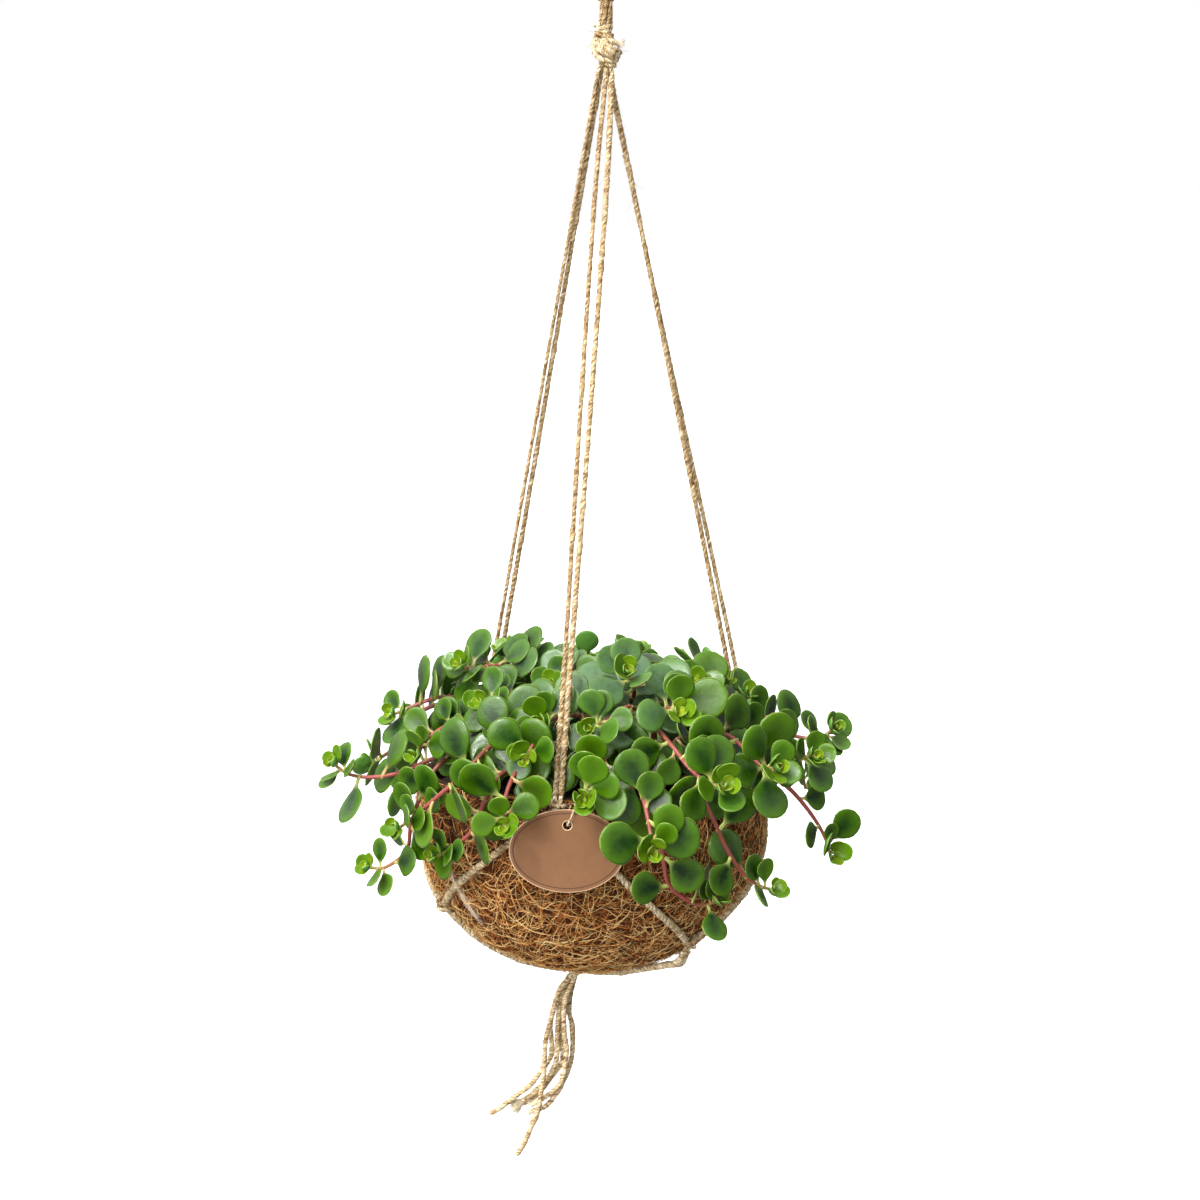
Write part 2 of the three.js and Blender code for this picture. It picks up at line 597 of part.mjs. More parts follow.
// A small repeatable random source, from 0 to 1.
function randomSource(seed) {
  let state = seed >>> 0;
  return () => {
    state = (state + 0x6d2b79f5) >>> 0;
    let mixed = state;
    mixed = Math.imul(mixed ^ (mixed >>> 15), mixed | 1);
    mixed ^= mixed + Math.imul(mixed ^ (mixed >>> 7), mixed | 61);
    return ((mixed ^ (mixed >>> 14)) >>> 0) / 4294967296;
  };
}

// Points and running length along a stem, for placing leaves by distance.
function measureStem(points) {
  const curve = smoothCurve(points);
  const steps = 80;
  const places = Array.from({ length: steps + 1 }, (_, i) => curve.getPoint(i / steps));
  const lengths = [0];
  for (let i = 1; i <= steps; i++) lengths.push(lengths[i - 1] + places[i].distanceTo(places[i - 1]));
  return { places, lengths, length: lengths[steps] };
}

function onStem(stem, distance) {
  let i = 1;
  while (i < stem.lengths.length - 1 && stem.lengths[i] < distance) i += 1;
  const share = (distance - stem.lengths[i - 1]) / (stem.lengths[i] - stem.lengths[i - 1]);
  const place = stem.places[i - 1].clone().lerp(stem.places[i], share);
  const heading = stem.places[i].clone().sub(stem.places[i - 1]).normalize();
  return { place, heading };
}

// Leaves and tips turn their faces up, outwards and towards the side that the stem was grown to face.
function lightFrom(place, stem) {
  const outward = at(place.x, place.y, 0).normalize();
  return outward.multiplyScalar(0.5).addScaledVector(stem.facing, 0.6).add(at(0, 0, stem.lift)).normalize();
}

// How leaf number k from the tip grows, before anything is in its way.
function leafHabit(stem, k) {
  const tip = Math.min(k, TIP_LEAVES);
  return {
    length: (k < TIP_LEAVES ? stem.tip : stem.size) * Math.min(LEAF_LENGTH, 9 + 4.2 * tip),
    opening: Math.min(84, 18 + 12 * tip),
    back: k < TIP_LEAVES ? 1.9 * k : 1.9 * TIP_LEAVES + stem.spacing * (k - TIP_LEAVES + 0.5),
  };
}

function leafPose(stem, k, draws, attempt) {
  const habit = leafHabit(stem, k);
  const { place, heading } = onStem(stem, stem.length - habit.back);
  const turned = k < TIP_LEAVES ? TIP_PULL : LIGHT_PULL * (0.6 + 0.8 * draws[2]);
  const axis = heading.multiplyScalar(1 - turned).addScaledVector(lightFrom(place, stem), turned);
  axis.normalize();
  const side = axis.clone().cross(at(0, 0, 1)).normalize();
  const other = axis.clone().cross(side);
  const swing = attempt % 2 ? attempt + 1 : -attempt;
  const turn = THREE.MathUtils.degToRad(GOLDEN_ANGLE * k + stem.twist + 30 * (draws[0] - 0.5) + 19 * swing);
  const opening = THREE.MathUtils.degToRad(habit.opening + 26 * (draws[1] - 0.5));
  const out = side.multiplyScalar(Math.cos(turn)).addScaledVector(other, Math.sin(turn));
  const along = axis.clone().multiplyScalar(Math.cos(opening)).addScaledVector(out, Math.sin(opening));
  const face = axis.multiplyScalar(Math.sin(opening)).addScaledVector(out, -Math.cos(opening));
  const length = habit.length * (0.86 + 0.28 * draws[3]) * (1 - 0.035 * attempt);
  return { place, along, face, across: face.clone().cross(along), length };
}

// Half of a leaf's outline from its root to its tip, as shares of its length.
const LEAF_ROOT = -1.2;             // millimetres behind the stem's middle
const LEAF_EDGE = [[0.26, 0.07], [0.44, 0.32], [0.79, 0.37]];
const LEAF_TIP = 1.01;
const LEAF_MIDDLE = 0.64;

function leafPoint(pose, along, across, up) {
  return pose.place.clone()
    .addScaledVector(pose.along, along)
    .addScaledVector(pose.across, across)
    .addScaledVector(pose.face, up);
}

// The rim runs round from the root, then come the middles of the upper and the lower face.
function leafPoints(pose) {
  const { length } = pose;
  const right = LEAF_EDGE.map(([u, v]) => leafPoint(pose, u * length, v * length, 0));
  const left = LEAF_EDGE.map(([u, v]) => leafPoint(pose, u * length, -v * length, 0)).reverse();
  const tip = leafPoint(pose, LEAF_TIP * length, 0, 0);
  const rim = [leafPoint(pose, LEAF_ROOT, 0, 0), ...right, tip, ...left];
  const middle = -LEAF_CUP * length;
  const upper = leafPoint(pose, LEAF_MIDDLE * length, 0, middle + LEAF_THICKNESS / 2);
  const lower = leafPoint(pose, LEAF_MIDDLE * length, 0, middle - LEAF_THICKNESS / 2);
  return [...rim, upper, lower];
}

function leafSolid(points) {
  const rim = points.length - 2;
  const index = [];
  for (let i = 0; i < rim; i++) {
    const next = (i + 1) % rim;
    index.push(next, i, rim, i, next, rim + 1);
  }
  const geometry = new THREE.BufferGeometry();
  const flat = points.flatMap((p) => p.toArray());
  geometry.setAttribute('position', new THREE.Float32BufferAttribute(flat, 3));
  geometry.setIndex(index);
  return toSolid(geometry);
}

// ---- Keeping leaves clear of everything else ----

// A form is the hull of some points, grown by a radius, with the directions that tell it from others.
function form(owner, points, radius, axes) {
  const centre = points.reduce((sum, p) => sum.add(p), at(0, 0, 0)).divideScalar(points.length);
  const reach = Math.max(...points.map((p) => p.distanceTo(centre))) + radius;
  return { owner, points, radius, axes, centre, reach };
}

function rodForms(owner, places, radius) {
  return places.slice(1).map((p, i) => form(owner, [places[i], p], radius, []));
}

const COMMON_AXES = [
  [1, 0, 0], [0, 1, 0], [0, 0, 1], [1, 1, 0], [1, -1, 0], [1, 0, 1], [1, 0, -1], [0, 1, 1], [0, 1, -1],
  [1, 1, 1], [1, 1, -1], [1, -1, 1], [-1, 1, 1],
].map((v) => at(...v));

function spaceAlong(a, b, axis) {
  const size = axis.length();
  if (size < 1e-6) return -Infinity;
  const spans = [a, b].map((one) => {
    const reaches = one.points.map((p) => p.dot(axis));
    return [Math.min(...reaches), Math.max(...reaches)];
  });
  const space = Math.max(spans[1][0] - spans[0][1], spans[0][0] - spans[1][1]);
  return space / size - a.radius - b.radius;
}

function clearOf(a, b, clearance) {
  const line = b.centre.clone().sub(a.centre);
  if (line.length() > a.reach + b.reach + clearance) return true;
  const crossed = [];
  for (const p of a.axes) {
    crossed.push(p.clone().cross(line));
    for (const q of b.axes) crossed.push(p.clone().cross(q));
  }
  for (const q of b.axes) crossed.push(q.clone().cross(line));
  const run = b.points[b.points.length - 1].clone().sub(b.points[0]);
  for (const p of a.axes) crossed.push(p.clone().cross(run));
  const axes = [line, ...a.axes, ...b.axes, ...COMMON_AXES, ...crossed];
  return axes.some((axis) => spaceAlong(a, b, axis) > clearance);
}

// The bowl and the soil in it count as one filled body up to the rim.
function clearOfBowl(points) {
  const checks = points.flatMap((p, i) => [p, p.clone().lerp(points[(i + 1) % points.length], 0.5)]);
  return checks.every((p) => {
    const height = p.z - BOWL_BASE_Z;
    if (height > BOWL_HEIGHT + 1) return true;
    return Math.hypot(p.x, p.y) > bowlRadius(height) + 1;
  });
}

function tagForm() {
  const rim = [];
  for (let i = 0; i < 12; i++) {
    const turn = (Math.PI * i) / 6;
    const x = (TAG_WIDTH / 2) * Math.cos(turn);
    const y = (TAG_HEIGHT / 2) * Math.sin(turn);
    rim.push(at(x, y, -0.5), at(x, y, TAG_THICKNESS + 1.6));
  }
  const normal = at(0, 0, 1).transformDirection(tagFrame());
  return form('tag', rim.map((p) => p.applyMatrix4(tagFrame())), 0.6, [normal]);
}

// The taut front strands lean on the foliage from outside, so no leaf hangs over them.
function frontClearing() {
  return [-1, 1].flatMap((side) => {
    const low = hangerRoute('front', side).filter((p) => p.z < CLEARING_TOP_Z);
    return low.slice(1).map((p, i) => {
      const corners = [low[i], p].flatMap((q) => [q, q.clone().setY(q.y - CLEARING_DEPTH)]);
      return form('cord', corners, 0.5, [p.clone().sub(low[i]).cross(at(0, 1, 0)).normalize(), at(0, 1, 0)]);
    });
  });
}

function fixedForms() {
  const forms = [tagForm(), ...rodForms('cord', tieRoute(), TIE / 2), ...frontClearing()];
  const half = CORD / 2 + 0.2;
  for (const name of Object.keys(PAIRS)) {
    forms.push(form('knot', [rimKnotCentre(name)], KNOT_REACH, []));
    for (const side of [-1, 1]) forms.push(...rodForms('cord', hangerRoute(name, side), half));
  }
  for (const name of Object.keys(SIDE_KNOTS)) {
    forms.push(form('knot', [sideKnotCentre(name)], KNOT_REACH, []));
  }
  for (const piece of NET) forms.push(...rodForms('cord', netRoute(piece), half));
  return forms;
}

function stemForms(stem) {
  const places = [];
  for (let i = 0; i < stem.places.length; i += 5) places.push(stem.places[i]);
  return rodForms(stem.owner, places, STEM / 2 + 0.2);
}

function growStem(shoot, route, branch, index) {
  const [x, y] = shoot.base;
  const facing = index < SHOOTS.length ? at(0, -1, 0) : at(x, y, 0).normalize();
  const foot = soilTop(Math.hypot(x, y)) - HOLE_DEPTH + GAP + 0.1;
  const points = [at(x, y, foot), at(x, y, foot + 12), ...route.map((p) => at(...p))];
  const twist = 77 * index + 140 * branch;
  const lift = shoot.lift ? shoot.lift[branch] : LIGHT_LIFT;
  const { tip = TIP_SIZE, size = 1, spacing = LEAF_SPACING } = shoot;
  const key = 2 * index + branch;
  const stem = { owner: shoot.name, points, twist, facing, lift, tip, size, spacing, key, leaves: [] };
  return { ...stem, ...measureStem(points) };
}

// One leaf takes the first of its tries that is clear of all others, or else clear of other stems.
function growLeaf(stem, k, forms) {
  if (stem.length - leafHabit(stem, k).back < BARE_BASE) return;
  const random = randomSource(SEED + 1000 * stem.key + k);
  const draws = [random(), random(), random(), random()];
  let fallback = null;
  for (let attempt = 0; attempt < LEAF_TRIES; attempt++) {
    const pose = leafPose(stem, k, draws, attempt);
    const points = leafPoints(pose);
    if (!clearOfBowl(points)) continue;
    const leaf = form(stem.owner, points, 0, [pose.face, pose.along, pose.across]);
    const near = forms.filter((one) => !clearOf(leaf, one, one.owner === stem.owner ? 0 : LEAF_CLEARANCE));
    if (near.some((one) => one.owner !== stem.owner)) continue;
    if (near.every((one) => one.points.length === 2)) {
      fallback = leaf;
      break;
    }
    fallback = fallback ?? leaf;
  }
  if (!fallback) return;
  forms.push(fallback);
  stem.leaves.push(fallback.points);
}

function makeShoots() {
  const shoots = [...SHOOTS, ...BACK_AZIMUTHS.map(backShoot)];
  const stems = shoots.flatMap((shoot, index) =>
    shoot.routes.map((route, branch) => growStem(shoot, route, branch, index)));
  const forms = [...fixedForms(), ...stems.flatMap(stemForms)];
  const most = Math.ceil(Math.max(...stems.map((stem) => stem.length)) / LEAF_SPACING) + TIP_LEAVES;
  for (let k = FIRST_LEAF; k < most; k++) {
    for (const stem of stems) growLeaf(stem, k, forms);
  }
  for (const shoot of shoots) {
    const own = stems.filter((stem) => stem.owner === shoot.name);
    const solids = own.flatMap((stem) => [
      toSolid(tube(stem.points, STEM, STEM_SIDES, 22)),
      ...stem.leaves.map(leafSolid),
    ]);
    addPiece(`shoot_${shoot.name}`, toGeometry(fuse(solids)), leafGreen);
  }
  return shoots.map((shoot) => at(shoot.base[0], shoot.base[1], 0));
}

makeBowl();
makeTopKnot();
makeHangingLoop();
makeHangers();
makeNet();
makeTails();
makeTag();
makeTagTie();
const stemBases = makeShoots();
makeSoil(stemBases);

export default plant;
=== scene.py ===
import math

import bmesh
import bpy
import numpy as np
from mathutils import Matrix, Vector
from mathutils.kdtree import KDTree


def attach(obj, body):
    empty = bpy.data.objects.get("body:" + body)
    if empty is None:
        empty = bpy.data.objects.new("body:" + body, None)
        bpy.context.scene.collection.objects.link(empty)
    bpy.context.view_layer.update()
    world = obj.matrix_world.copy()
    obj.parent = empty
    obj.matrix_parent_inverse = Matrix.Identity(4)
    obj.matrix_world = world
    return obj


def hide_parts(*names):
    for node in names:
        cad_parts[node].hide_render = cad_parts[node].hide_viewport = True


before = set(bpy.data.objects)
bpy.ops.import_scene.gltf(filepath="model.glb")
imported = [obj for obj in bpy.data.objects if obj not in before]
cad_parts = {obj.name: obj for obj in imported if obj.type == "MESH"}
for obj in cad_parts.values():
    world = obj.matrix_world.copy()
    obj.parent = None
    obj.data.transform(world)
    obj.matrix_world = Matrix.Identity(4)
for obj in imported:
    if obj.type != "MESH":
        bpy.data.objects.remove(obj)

# A round-leaved trailing succulent in a coir bowl, hung in a net of six jute strands.
# Places and sizes are in millimetres, as in the CAD source, and turn into metres where a mesh is made.
# +Z is up, -Y towards the front. Azimuths are in degrees from the front, positive towards +X.

MM = 0.001
UP = np.array([0, 0, 1.0])
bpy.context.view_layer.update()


def colour(*screen):
    """A colour as it looks on a screen, from 0 to 1, in the linear values that shaders use."""
    return tuple(c / 12.92 if c <= 0.04045 else ((c + 0.055) / 1.055) ** 2.4 for c in screen) + (1,)


def seeded(offset):
    """Random numbers that each piece draws from a seed of its own."""
    return np.random.default_rng(SEED + offset)


# ---- Sizes, as in the CAD source ----

CORD = 2.8
BOWL_BASE_Z = -623.5
BOWL_HEIGHT = 119
BOWL_WIDEST_HEIGHT = 97
BOWL_RADIUS = 104.5
BOWL_RIM_LEAN = 2.5
BOWL_ROUNDNESS = 2.19
BOWL_WALL = 7
DIMPLE_RADIUS = 18
DIMPLE_DEPTH = 8
SOIL_EDGE_Z = -514
SOIL_CROWN = 6
HOLE_DEPTH = 6
GAP = 0.35

TOP_KNOT_Z = -74
HANGER_TOP_Z = -88
KNOT_REACH = 6
BOTTOM_KNOT_REACH = 6.5
RIM_KNOT_HEIGHT = 115.5
RIM_KNOTS = {"front": -10.5, "right": 111, "left": -139}
SIDE_KNOTS = {"left": (-72.6, 41, 0), "right": (50.5, 26.5, 7), "back": (166, 33, 0)}
KNOT_STAND_OFF = 3.4
NET_STAND_OFF = 1.85
PAIR_SPACING = 3.4
SLACK_SHARE = 0.1
BOTTOM_KNOT = (-6.5, 0, -624)

TAG_WIDTH = 67
TAG_HEIGHT = 48
TAG_THICKNESS = 1.2
TAG_HOLE = 5
TAG_HOLE_UP = 14.8
TAG_PLACE = (-13.3, -115, -531.7)
TAG_LEAN = 5
TIE = 1.2

STEM = 3
LEAF_LENGTH = 30
LEAF_THICKNESS = 1.9
LEAF_CUP = 0.07
FIRST_LEAF = 2
TIP_LEAVES = 6
TIP_SIZE = 0.92
LEAF_SPACING = 15
GOLDEN_ANGLE = 137.5
LIGHT_PULL = 0.58
TIP_PULL = 0.74
LIGHT_LIFT = 0.5
BARE_BASE = 33
LEAF_TRIES = 9
LEAF_CLEARANCE = 0.45
CLEARING_TOP_Z = -390
CLEARING_DEPTH = 45
SEED = 2394

# ---- Camera, placed as in the photograph ----

LENS = 120
SENSOR = 36
CAMERA_DISTANCE = 2.4
CAMERA_RISE = math.radians(7)
CAMERA_ROLL = math.radians(1.06)
CAMERA_AIM = Vector((0.00306, 0, -0.4))


def make_camera():
    """The photograph's view: a long lens, a little above the middle, turned by about a degree."""
    data = bpy.data.cameras.new("camera")
    data.lens = LENS
    data.sensor_width = SENSOR
    camera = bpy.data.objects.new("camera", data)
    bpy.context.scene.collection.objects.link(camera)
    back = Vector((0, -math.cos(CAMERA_RISE), math.sin(CAMERA_RISE)))
    place = CAMERA_AIM + CAMERA_DISTANCE * back
    turn = (-back).to_track_quat("-Z", "Y").to_matrix() @ Matrix.Rotation(CAMERA_ROLL, 3, "Z")
    camera.matrix_world = Matrix.Translation(place) @ turn.to_4x4()
    bpy.context.scene.camera = camera


make_camera()

# ---- Curves and tubes ----


def unit(vectors):
    vectors = np.asarray(vectors, float)
    return vectors / np.maximum(np.linalg.norm(vectors, axis=-1, keepdims=True), 1e-12)


def turns(count):
    """Equal turns round a circle, in radians."""
    return math.tau * np.arange(count) / count


def around(turn, first, second):
    """The direction at a turn, in radians, from one direction towards another that is square to it."""
    return np.cos(turn)[..., None] * first + np.sin(turn)[..., None] * second


def curve_at(points, shares):
    """Places on the smooth curve through the points, at shares from 0 to 1 of its spans."""
    points = np.asarray(points, float)
    last = len(points) - 1
    place = last * np.asarray(shares, float)
    i = np.minimum(np.floor(place).astype(int), last - 1)
    w = (place - i)[:, None]
    longer = np.vstack([2 * points[0] - points[1], points, 2 * points[-1] - points[-2]])
    p0, p1, p2, p3 = (longer[i + k] for k in range(4))
    v1, v2 = 0.5 * (p2 - p0), 0.5 * (p3 - p1)
    return (2 * p1 - 2 * p2 + v1 + v2) * w**3 + (-3 * p1 + 3 * p2 - 2 * v1 - v2) * w**2 + v1 * w + p1


def run_of(points):
    """Length along a line at each of its points."""
    return np.concatenate([[0], np.cumsum(np.linalg.norm(np.diff(points, axis=0), axis=1))])


def spaced(points, count):
    """count + 1 places at equal lengths along the smooth curve through the points."""
    shares = np.linspace(0, 1, 201)
    run = run_of(curve_at(points, shares))
    return curve_at(points, np.interp(np.linspace(0, run[-1], count + 1), run, shares))


def smooth_path(points, step):
    shares = np.linspace(0, 1, 201)
    length = run_of(curve_at(points, shares))[-1]
    return spaced(points, max(4, round(length / step)))


def frames(path):
    """The direction of a path at each point, and two square to it that turn as little as can be."""
    tangent = unit(np.gradient(path, axis=0))
    normal = np.zeros_like(path)
    previous = np.cross(tangent[0], (0, 0, 1) if abs(tangent[0][2]) < 0.9 else (1, 0, 0))
    for i, t in enumerate(tangent):
        n = previous - t * np.dot(previous, t)
        previous = normal[i] = n / np.linalg.norm(n)
    return tangent, normal, np.cross(tangent, normal)


def wobble(values, rng, waves=4, shortest=3.0, longest=30.0):
    """A smooth random line along the values, of about -1 to 1."""
    total = np.zeros(np.shape(values))
    for _ in range(waves):
        length = math.exp(rng.uniform(math.log(shortest), math.log(longest)))
        total = total + np.sin(math.tau * (np.asarray(values) / length + rng.random()))
    return total / math.sqrt(waves * 2)


class Shape:
    """The points, faces and point values of one piece, gathered before its mesh is made."""

    def __init__(self):
        self.points, self.faces, self.skins, self.values, self.count = [], [], [], {}, 0

    def add(self, points, blocks, skin=0, **values):
        """Adds points with their values, and faces in blocks that each have one count of corners."""
        points = np.asarray(points, float).reshape(-1, 3)
        for block in blocks:
            self.faces.append(np.asarray(block, int) + self.count)
            self.skins.append(np.full(len(block), skin))
        for name, value in values.items():
            value = np.asarray(value, float)
            full = np.broadcast_to(value, (len(points),) + ((3,) if value.shape[-1:] == (3,) else ()))
            self.values.setdefault(name, []).append(full)
        self.points.append(points)
        self.count += len(points)

    def make(self, name, materials, smooth=True):
        mesh = bpy.data.meshes.new(name)
        points = np.concatenate(self.points) * MM
        sizes = np.concatenate([np.full(len(block), block.shape[1]) for block in self.faces])
        corners = np.concatenate([block.ravel() for block in self.faces])
        mesh.vertices.add(len(points))
        mesh.vertices.foreach_set("co", points.ravel())
        mesh.loops.add(len(corners))
        mesh.loops.foreach_set("vertex_index", corners)
        mesh.polygons.add(len(sizes))
        mesh.polygons.foreach_set("loop_start", np.cumsum(sizes) - sizes)
        mesh.polygons.foreach_set("material_index", np.concatenate(self.skins))
        mesh.polygons.foreach_set("use_smooth", np.full(len(sizes), smooth))
        mesh.update(calc_edges=True)
        for key, parts in self.values.items():
            value = np.concatenate(parts)
            vector = value.ndim == 2
            layer = mesh.attributes.new(key, "FLOAT_VECTOR" if vector else "FLOAT", "POINT")
            layer.data.foreach_set("vector" if vector else "value", value.ravel())
        for material in materials:
            mesh.materials.append(material)
        piece = bpy.data.objects.new(name, mesh)
        bpy.context.scene.collection.objects.link(piece)
        return piece


def tube_faces(rings, sides):
    """Quads between neighbouring rings, and a flat end on each side."""
    a = np.arange(rings - 1)[:, None] * sides + np.arange(sides)
    b = np.arange(rings - 1)[:, None] * sides + (np.arange(sides) + 1) % sides
    quads = np.stack([a, b, b + sides, a + sides], axis=-1).reshape(-1, 4)
    ends = np.array([np.arange(sides)[::-1], (rings - 1) * sides + np.arange(sides)])
    return [quads, ends]


GROOVE_SHADE = 0.8
HAIR_SIDES = 3
HAIR_GRAIN = 20                     # length of the grain pattern along each fibre


def add_tube(shape, path, radius, sides, grain_turn=0.0, tone=0.5, skin=0, core=None, core_radius=1.0):
    """A round tube. Its grain value is a place in a straight, untwisted copy of it.

    With a core, the line of the strand that the tube winds in, painted shade lowers the tone in the grooves
    near it.
    """
    _, normal, other = frames(path)
    angle = turns(sides)
    radius = np.broadcast_to(np.asarray(radius, float), len(path))[:, None]
    points = path[:, None] + radius[..., None] * around(angle, normal[:, None], other[:, None])
    run = run_of(path)[:, None]
    turned = angle + grain_turn * run
    grain = [radius * np.cos(turned), radius * np.sin(turned), np.broadcast_to(run, turned.shape)]
    tones = np.broadcast_to(np.asarray(tone, float).reshape(-1, 1), turned.shape)
    if core is not None:
        # Painted shade: the tone falls where the tube lies deep in the strand, in the grooves between
        # plies.
        depth = np.linalg.norm(points - core[:, None], axis=-1) / core_radius
        tones = tones - GROOVE_SHADE * np.clip(1 - depth, 0, 0.4)
    shape.add(points, tube_faces(len(path), sides), skin,
              grain=np.stack(grain, axis=-1).reshape(-1, 3), tone=tones.reshape(-1))


def add_hairs(shape, paths, radius, tone, up):
    """Many thin three-sided fibres at once: paths is fibres x places x 3."""
    count, places = paths.shape[:2]
    tangent = unit(np.gradient(paths, axis=1))
    normal = unit(np.cross(tangent, up))
    other = np.cross(tangent, normal)
    angle = turns(HAIR_SIDES)
    out = around(angle, normal[:, :, None], other[:, :, None])
    thin = np.sin(np.linspace(0.15, 1, places) * np.linspace(1, 0.93, places) * math.pi * 0.93) ** 0.5
    size = np.asarray(radius, float).reshape(-1, 1, 1, 1) * np.maximum(thin, 0.3)[None, :, None, None]
    points = paths[:, :, None] + size * out
    start = (np.arange(count) * places * HAIR_SIDES)[:, None, None]
    blocks = [(block[None] + start).reshape(-1, block.shape[1]) for block in tube_faces(places, HAIR_SIDES)]
    run = np.linspace(0, HAIR_GRAIN, places)[None, :, None]
    apart = np.arange(count)[:, None, None] * 7.3
    grain = np.stack(np.broadcast_arrays(np.cos(angle) * 0.1 + apart, np.sin(angle) * 0.1, run), axis=-1)
    tones = np.broadcast_to(np.asarray(tone, float).reshape(-1, 1, 1), (count, places, HAIR_SIDES))
    shape.add(points, blocks, 0, grain=grain.reshape(-1, 3), tone=tones.reshape(-1))


# ---- Materials ----


class Nodes:
    """A small helper that adds shader nodes to a tree and joins them. A colour is given as on a screen."""

    def __init__(self, tree):
        self.tree = tree

    def node(self, kind, inputs, **settings):
        made = self.tree.nodes.new(kind)
        for key, value in settings.items():
            setattr(made, key, value)
        for key, value in inputs.items():
            self.put(made.inputs[key], value)
        return made

    def put(self, socket, value):
        if isinstance(value, bpy.types.NodeSocket):
            self.tree.links.new(value, socket)
        elif socket.type == "RGBA":
            socket.default_value = colour(*value)
        else:
            socket.default_value = value

    def span(self, value, low, high, start=0.0, end=1.0, curve="SMOOTHSTEP"):
        inputs = {"Value": value, "From Min": low, "From Max": high, "To Min": start, "To Max": end}
        return self.node("ShaderNodeMapRange", inputs, interpolation_type=curve).outputs["Result"]

    def maths(self, operation, a, b=0.0, clamp=False):
        return self.node("ShaderNodeMath", {0: a, 1: b}, operation=operation, use_clamp=clamp).outputs[0]


class Paint(Nodes):
    """One procedural material, built node by node."""

    def __init__(self, name):
        self.material = bpy.data.materials.new(name)
        self.material.use_nodes = True
        super().__init__(self.material.node_tree)

    def given(self, name, kind="Fac"):
        """A value that the piece's points carry."""
        return self.node("ShaderNodeAttribute", {}, attribute_name=name).outputs[kind]

    def place(self):
        """The place in the row frame, in millimetres."""
        made = self.node("ShaderNodeTexCoord", {})
        inputs = {"Vector": made.outputs["Object"], "Scale": (1 / MM, 1 / MM, 1 / MM)}
        return self.node("ShaderNodeMapping", inputs).outputs["Vector"]

    def split(self, vector):
        made = self.node("ShaderNodeSeparateXYZ", {"Vector": vector})
        return [made.outputs[k] for k in "XYZ"]

    def noise(self, vector, scale, detail=3.0, rough=0.55):
        """Noise at one scale, or at a scale for each axis."""
        if isinstance(scale, tuple):
            vector = self.node("ShaderNodeMapping", {"Vector": vector, "Scale": scale}).outputs["Vector"]
            scale = 1.0
        inputs = {"Vector": vector, "Scale": scale, "Detail": detail, "Roughness": rough}
        return self.node("ShaderNodeTexNoise", inputs).outputs["Fac"]

    def mix(self, factor, a, b):
        return self.node("ShaderNodeMix", {0: factor, 6: a, 7: b}, data_type="RGBA").outputs[2]

    def ramp(self, value, stops):
        """A colour for each value. A stop is a value with its red, green and blue."""
        made = self.node("ShaderNodeValToRGB", {"Fac": value})
        ramp = made.color_ramp
        while len(ramp.elements) < len(stops):
            ramp.elements.new(0.5)
        for element, (place, *shade) in zip(ramp.elements, stops):
            element.position = place
            element.color = colour(*shade)
        return made.outputs["Color"]

    def finish(self, shade, roughness, relief=None, depth=0.0, strength=1.0, specular=0.5):
        """Gives the shader its inputs. The relief is as deep as depth, in millimetres."""
        inputs = {"Base Color": shade, "Roughness": roughness, "Specular IOR Level": specular}
        if relief is not None:
            bump = {"Height": relief, "Distance": depth * MM, "Strength": strength}
            inputs["Normal"] = self.node("ShaderNodeBump", bump).outputs["Normal"]
        for key, value in inputs.items():
            self.put(self.tree.nodes["Principled BSDF"].inputs[key], value)
        return self.material


def jute_material():
    paint = Paint("jute")
    grain = paint.given("grain", "Vector")
    fibres = paint.noise(grain, (2.2, 2.2, 0.38), 5.0, 0.8)
    blotches = paint.noise(grain, (0.9, 0.9, 0.22), 2.0)
    streaks = paint.span(fibres, 0.32, 0.68, -0.62, 0.62)
    patches = paint.span(blotches, 0.3, 0.7, -0.25, 0.25)
    level = paint.maths("ADD", paint.maths("ADD", paint.given("tone"), streaks), patches, True)
    shade = paint.ramp(level, [(0.0, 0.38, 0.26, 0.14), (0.25, 0.63, 0.50, 0.33), (0.5, 0.79, 0.69, 0.51),
                               (0.75, 0.90, 0.82, 0.67), (1.0, 0.96, 0.93, 0.83)])
    return paint.finish(shade, paint.span(fibres, 0.2, 0.8, 0.62, 0.85), fibres, 0.3, specular=0.15)


def coir_fibre_material():
    paint = Paint("coir_fibre")
    streak = paint.noise(paint.given("grain", "Vector"), (3, 3, 0.35))
    level = paint.maths("ADD", paint.given("tone"), paint.span(streak, 0.3, 0.7, -0.12, 0.12), True)
    shade = paint.ramp(level, [(0.0, 0.25, 0.12, 0.05), (0.3, 0.56, 0.32, 0.15), (0.55, 0.83, 0.54, 0.28),
                               (0.8, 0.96, 0.73, 0.43), (1.0, 0.99, 0.86, 0.60)])
    return paint.finish(shade, paint.span(streak, 0.3, 0.7, 0.5, 0.72), streak, 0.1, specular=0.2)


def coir_felt_material():
    # The felt shows between the fibres. Its dark browns are partly coir's own colour, partly painted shade
    # deep in the gaps.
    paint = Paint("coir_felt")
    place = paint.place()
    coarse = paint.noise(place, (0.35, 0.35, 0.6), 5.0, 0.7)
    fine = paint.noise(place, (2.2, 2.2, 1.3), 4.0, 0.7)
    level = paint.maths("MULTIPLY", paint.maths("ADD", coarse, fine), 0.5)
    shade = paint.ramp(level, [(0.33, 0.13, 0.06, 0.02), (0.5, 0.27, 0.15, 0.07), (0.68, 0.45, 0.28, 0.14)])
    return paint.finish(shade, paint.span(fine, 0.3, 0.7, 0.8, 0.97), fine, 0.8)


